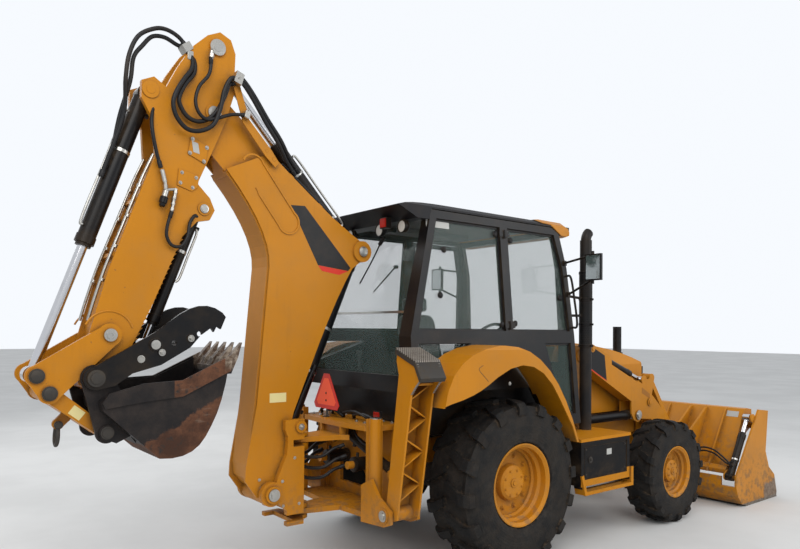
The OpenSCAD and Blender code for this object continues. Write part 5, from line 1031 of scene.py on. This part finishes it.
def cab_inside():
    """Rubber boots of the levers, the instrument panel and the side console's switches."""
    b = Build()
    boot = [(0, 46), (12, 44), (30, 34), (46, 36), (58, 24), (70, 26), (84, 14)]
    for y in (-250, 250):
        b.lathe((-640, y, 1420), (0, 0, 1), boot, 24)
    b.lathe((690, 0, 1760), (-0.809, 0, 0.588), [(10, 44), (16, 42), (20, 20)], 24)
    b.lathe((-60, -470, 1500), (0, 0, 1), [(-2, 34), (14, 30), (26, 22), (40, 24), (52, 12), (120, 9), (124, 20),
                                           (156, 22), (170, 10)], 24)
    piece(b, "lever_boots", "machine", "hose", 0.5)
    b = Build().box((846, -110, 1640), (876, 110, 1730))
    for x in range(-250, 170, 70):
        b.box((x, -500, 1499), (x + 35, -440, 1507))
    piece(b, "instrument_panel", "machine", "interior", 3.0)


def cushion(name, lo, hi, bend, channels, face, crown=18):
    """A padded block: its sides bulge and pull in at the corners, and one face is crowned and sewn across.
    face is the axis that this face looks along, bend how far the block leans for each unit of height."""
    b = Build()
    n = 26
    lo, hi = Vector(lo), Vector(hi)
    mid, half = (lo + hi) / 2, (hi - lo) / 2
    grid = {}

    def point(q):
        out, v, across = q[face], q[1], q[2 - face]
        pull = [abs(c) ** 5 for c in q]
        k = 1 - 0.10 * (pull[0] * pull[1] + pull[1] * pull[2] + pull[2] * pull[0])
        p = mid + Vector([h * c * k for h, c in zip(half, q)])
        if out > 0:
            sewn = 7 * math.exp(-((abs(v) - 0.72) / 0.05) ** 2)
            sewn += sum(9 * math.exp(-((across - c) / 0.045) ** 2) for c in channels)
            p[face] += crown * (1 - across * across) * (1 - v * v) - sewn * out
        p.x += bend * (p.z - lo.z)
        return p

    def vert(q):
        key = tuple(round(c, 4) for c in q)
        if key not in grid:
            grid[key] = b.bm.verts.new(P(*point(q)))
        return grid[key]

    ticks = [-1 + 2 * i / n for i in range(n + 1)]
    steps = list(zip(ticks, ticks[1:]))
    for fixed in range(3):
        for side in (-1.0, 1.0):
            for s0, s1 in steps:
                for t0, t1 in steps:
                    corners = [[s0, t0], [s1, t0], [s1, t1], [s0, t1]]
                    for c in corners:
                        c.insert(fixed, side)
                    b.bm.faces.new([vert(c) for c in corners])
    obj = piece(b, name, "seat", "seat", slot="seat_fabric")
    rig.padded(obj, 0.8)
    return obj


def seat():
    """Sprung seat: crowned cushions with sewn channels, on the part's pedestal."""
    x = 60
    first = cushion("seat_cushion", (x - 228, -238, 1362), (x + 248, 238, 1452), 0, (-0.45, 0.1, 0.6), 2)
    cushion("seat_back", (x - 240, -226, 1462), (x - 150, 226, 1980), -0.17, (-0.5, 0.0, 0.5), 0)
    cushion("seat_head_rest", (x - 322, -140, 2006), (x - 250, 140, 2128), -0.05, (0.0,), 0, 10)
    for tag, s in SIDES:
        y0, y1 = sorted((s * 247, s * 298))
        cushion(f"arm_rest_{tag}", (x - 178, y0, 1622), (x + 148, y1, 1668), 0, (), 2, 5)
    b = Build()
    b.lathe((x, 0, 1300.3), (0, 0, 1), [(0, 119), (6, 119), (14, 112), (46, 112), (54, 119), (62, 119)], 40)
    b.box((x - 200, -210, 1345), (x + 215, 210, 1366))
    for s in (-1, 1):
        b.rod((x - 172, s * 232, 1450), (x - 172, s * 262, 1630), 12)
        b.rod((x - 330, s * 60, 1985), (x - 316, s * 60, 2030), 8)
        b.rod((x - 322, s * 60, 1960), (x - 320, s * 60, 2010), 8)
    piece(b, "seat_base", "seat", "interior", 2.0)
    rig.replaces(first, "seat")


def legs():
    """Worn plates, ribs and toothed edges of the street pads."""
    a = math.radians(-LEG_LEAN)
    for tag, s in SIDES:
        def at(x, y, z):
            return (x, s * (LEG_Y + y * math.cos(a) - z * math.sin(a)), LEG_Z + y * math.sin(a) + z * math.cos(a))

        def tooth(x, width, *edges):
            """A stub from a foot edge to a top edge, each as two [y, z] points, 3 mm narrower at each end on top."""
            b.skin([[at(x + e, *p), at(x + width - e, *p), at(x + width - e, *q), at(x + e, *q)]
                    for e, (p, q) in zip((0, 3), edges)])
        x0, x1 = -1098, -868
        plate = [(-80, 1152), (-77, 1183), (152, 1129), (228, 1031), (216, 1002), (142, 1100)]
        b = Build().skin([[at(x, y, z) for y, z in plate] for x in (x0, x1)])
        piece(b, f"pad_plate_{tag}", f"leg_{tag}", "pad", 1.0)
        b = Build()
        for i in range(10):
            y, z = -70 + 215 * i / 9, 1178 - 50 * i / 9
            for j in range(12):
                tooth(x0 + 2 + j * 19, 15, ((y - 7, z - 4), (y + 7, z - 7)), ((y - 4, z + 17), (y + 4, z + 15)))
        edge = [(150, 1120), (210, 1020), (165, 960), (130, 900)]
        for x in (-1091, -896):
            for (y0, z0), (y1, z1) in zip(edge, edge[1:]):
                n = int(math.hypot(y1 - y0, z1 - z0) / 15)
                for i in range(n):
                    t = (i + 0.5) / n
                    y, z = y0 + (y1 - y0) * t, z0 + (z1 - z0) * t
                    tooth(x, 18, ((y - 6, z - 6), (y + 7, z + 7)), ((y + 3, z - 4), (y + 10, z + 4)))
        piece(b, f"pad_tread_{tag}", f"leg_{tag}", "tread")


def sundries():
    """Clamps on the stack, swing ram sleeves, the locker's latch, and hoses behind the slow vehicle sign."""
    x, y = STACK_X, STACK_Y
    b = Build()
    for z in (1704, 1900, 2130, 2372):
        b.lathe((x, y, z), (0, 0, 1), [(0, 60.6), (1, 64), (21, 64), (22, 60.6)], 40)
        b.box((x - 16, y - 76, z + 2), (x + 16, y - 58, z + 20))
        b.bolt((x, y - 76, z + 11), (0, -1, 0), 6)
    b.rod((x - 60, y + 10, 2150), (x - 190, y + 70, 2170), 12)
    b.rod((x - 60, y + 10, 1990), (x - 180, y + 50, 1990), 12)
    piece(b, "stack_clamps", "machine", "black", 0.8)
    b = Build()
    for y in (-200, 200):
        b.lathe((-779, y, 790), (-1, 0, 0), [(0, 53), (20, 58), (30, 58), (34, 53), (190, 53), (194, 60), (222, 60),
                                             (227, 50), (227, 31)], 40)
        for x in (-860, -960):
            b.rod((x, y, 843), (x, y, 880), 12)
    piece(b, "swing_ram_sleeves", "machine", "black", 1.0)
    b = Build()
    b.lathe((820, LOCKER_Y, 760), (0, -1, 0), [(0, 26), (5, 26), (6, 18), (10, 18)])
    b.box((812, LOCKER_Y - 16, 752), (828, LOCKER_Y - 4, 768))
    for z in (640, 850):
        for x in (760, 1320):
            b.bolt((x, LOCKER_Y, z), (0, -1, 0), 6)
    piece(b, "locker_latch", "machine", "dark_steel", 1.0, slot="iron")
    for k, (y0, y1) in enumerate(((-420, -60), (-330, 90), (60, 430))):
        path = [(-930, y0, 1140), (-950, y0 + 40, 1166), (-940, (y0 + y1) / 2, 1182 + 10 * k), (-930, y1 - 40, 1164),
                (-900, y1, 1140)]
        hose(path, 11, f"deck_hose_{k + 1}", ["machine"])


def build_stage():
    """Camera, light and floor."""
    scene = bpy.context.scene
    scene.view_settings.view_transform = "Standard"

    def add(name, data):
        obj = bpy.data.objects.new(name, data)
        scene.collection.objects.link(obj)
        return obj

    def aim(direction):
        return Vector(direction).to_track_quat("-Z", "Y").to_matrix().to_4x4()

    cam = add("camera", bpy.data.cameras.new("camera"))
    cam.data.sensor_width = 36.0
    cam.data.lens = 30.6
    cam.data.shift_y = 0.0569
    cam.data.clip_end = 200.0
    yaw, pitch, roll = math.radians(51.68), math.radians(0.83), math.radians(0.45)
    ahead = (math.cos(pitch) * math.cos(yaw), math.cos(pitch) * math.sin(yaw), math.sin(pitch))
    cam.matrix_world = Matrix.Translation((-4.445, -4.609, 1.847)) @ aim(ahead) @ Matrix.Rotation(roll, 4, "Z")
    scene.camera = cam

    mesh = bpy.data.meshes.new("floor")
    s = 60.0
    mesh.from_pydata([(-s, -s, 0), (s, -s, 0), (s, s, 0), (-s, s, 0)], [], [(0, 1, 2, 3)])
    t = Tree("pale_floor")
    mesh.materials.append(t.done(t.mix(t.noise(0.6, 4), (0.60, 0.60, 0.59), (0.66, 0.66, 0.65)), 0.7))
    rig.stage(add("floor", mesh))

    # A pale sky, whose light is weaker than what the camera sees of it
    world = bpy.data.worlds.new("world")
    scene.world = world
    world.use_nodes = True
    nt = world.node_tree
    sky = nt.nodes["Background"]
    sky.inputs["Color"].default_value = (0.93, 0.96, 1.0, 1)
    path = nt.nodes.new("ShaderNodeLightPath")
    seen = nt.nodes.new("ShaderNodeMath")
    seen.operation = "MAXIMUM"
    nt.links.new(path.outputs["Is Camera Ray"], seen.inputs[0])
    nt.links.new(path.outputs["Is Transmission Ray"], seen.inputs[1])
    level = nt.nodes.new("ShaderNodeMapRange")
    nt.links.new(seen.outputs[0], level.inputs["Value"])
    level.inputs["To Min"].default_value = 0.75
    level.inputs["To Max"].default_value = 1.0
    nt.links.new(level.outputs["Result"], sky.inputs["Strength"])

    def area(name, pos, target, size, power, color=(1, 1, 1)):
        data = bpy.data.lights.new(name, "AREA")
        data.shape = "RECTANGLE"
        data.size, data.size_y = size
        data.energy = power
        data.color = color
        add(name, data).matrix_world = Matrix.Translation(pos) @ aim(Vector(target) - Vector(pos))

    area("key_light", (-5.5, -7.0, 8.5), (0, 0, 1.2), (7, 6), 620, (1.0, 0.98, 0.95))
    area("fill_light", (5.0, -7.0, 4.5), (0.5, 0, 1.0), (6, 4), 180)
    area("rim_light", (-2.0, 8.0, 7.0), (0, 0, 1.5), (8, 5), 260)


build_stage()
for dress in (decals, digger_fastenings, machine_fastenings, rings_and_lines, elbow_hoses, thumb_hoses, low_hoses,
              shackle, lamps, windows, cab_outside, cab_inside, seat, legs, sundries):
    dress()

visual_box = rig.bounds()
json.dump({"cad": [[round(c, 6) for c in v] for v in cad_box],
           "visual": [[round(c, 6) for c in v] for v in visual_box]}, open("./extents.json", "w"))
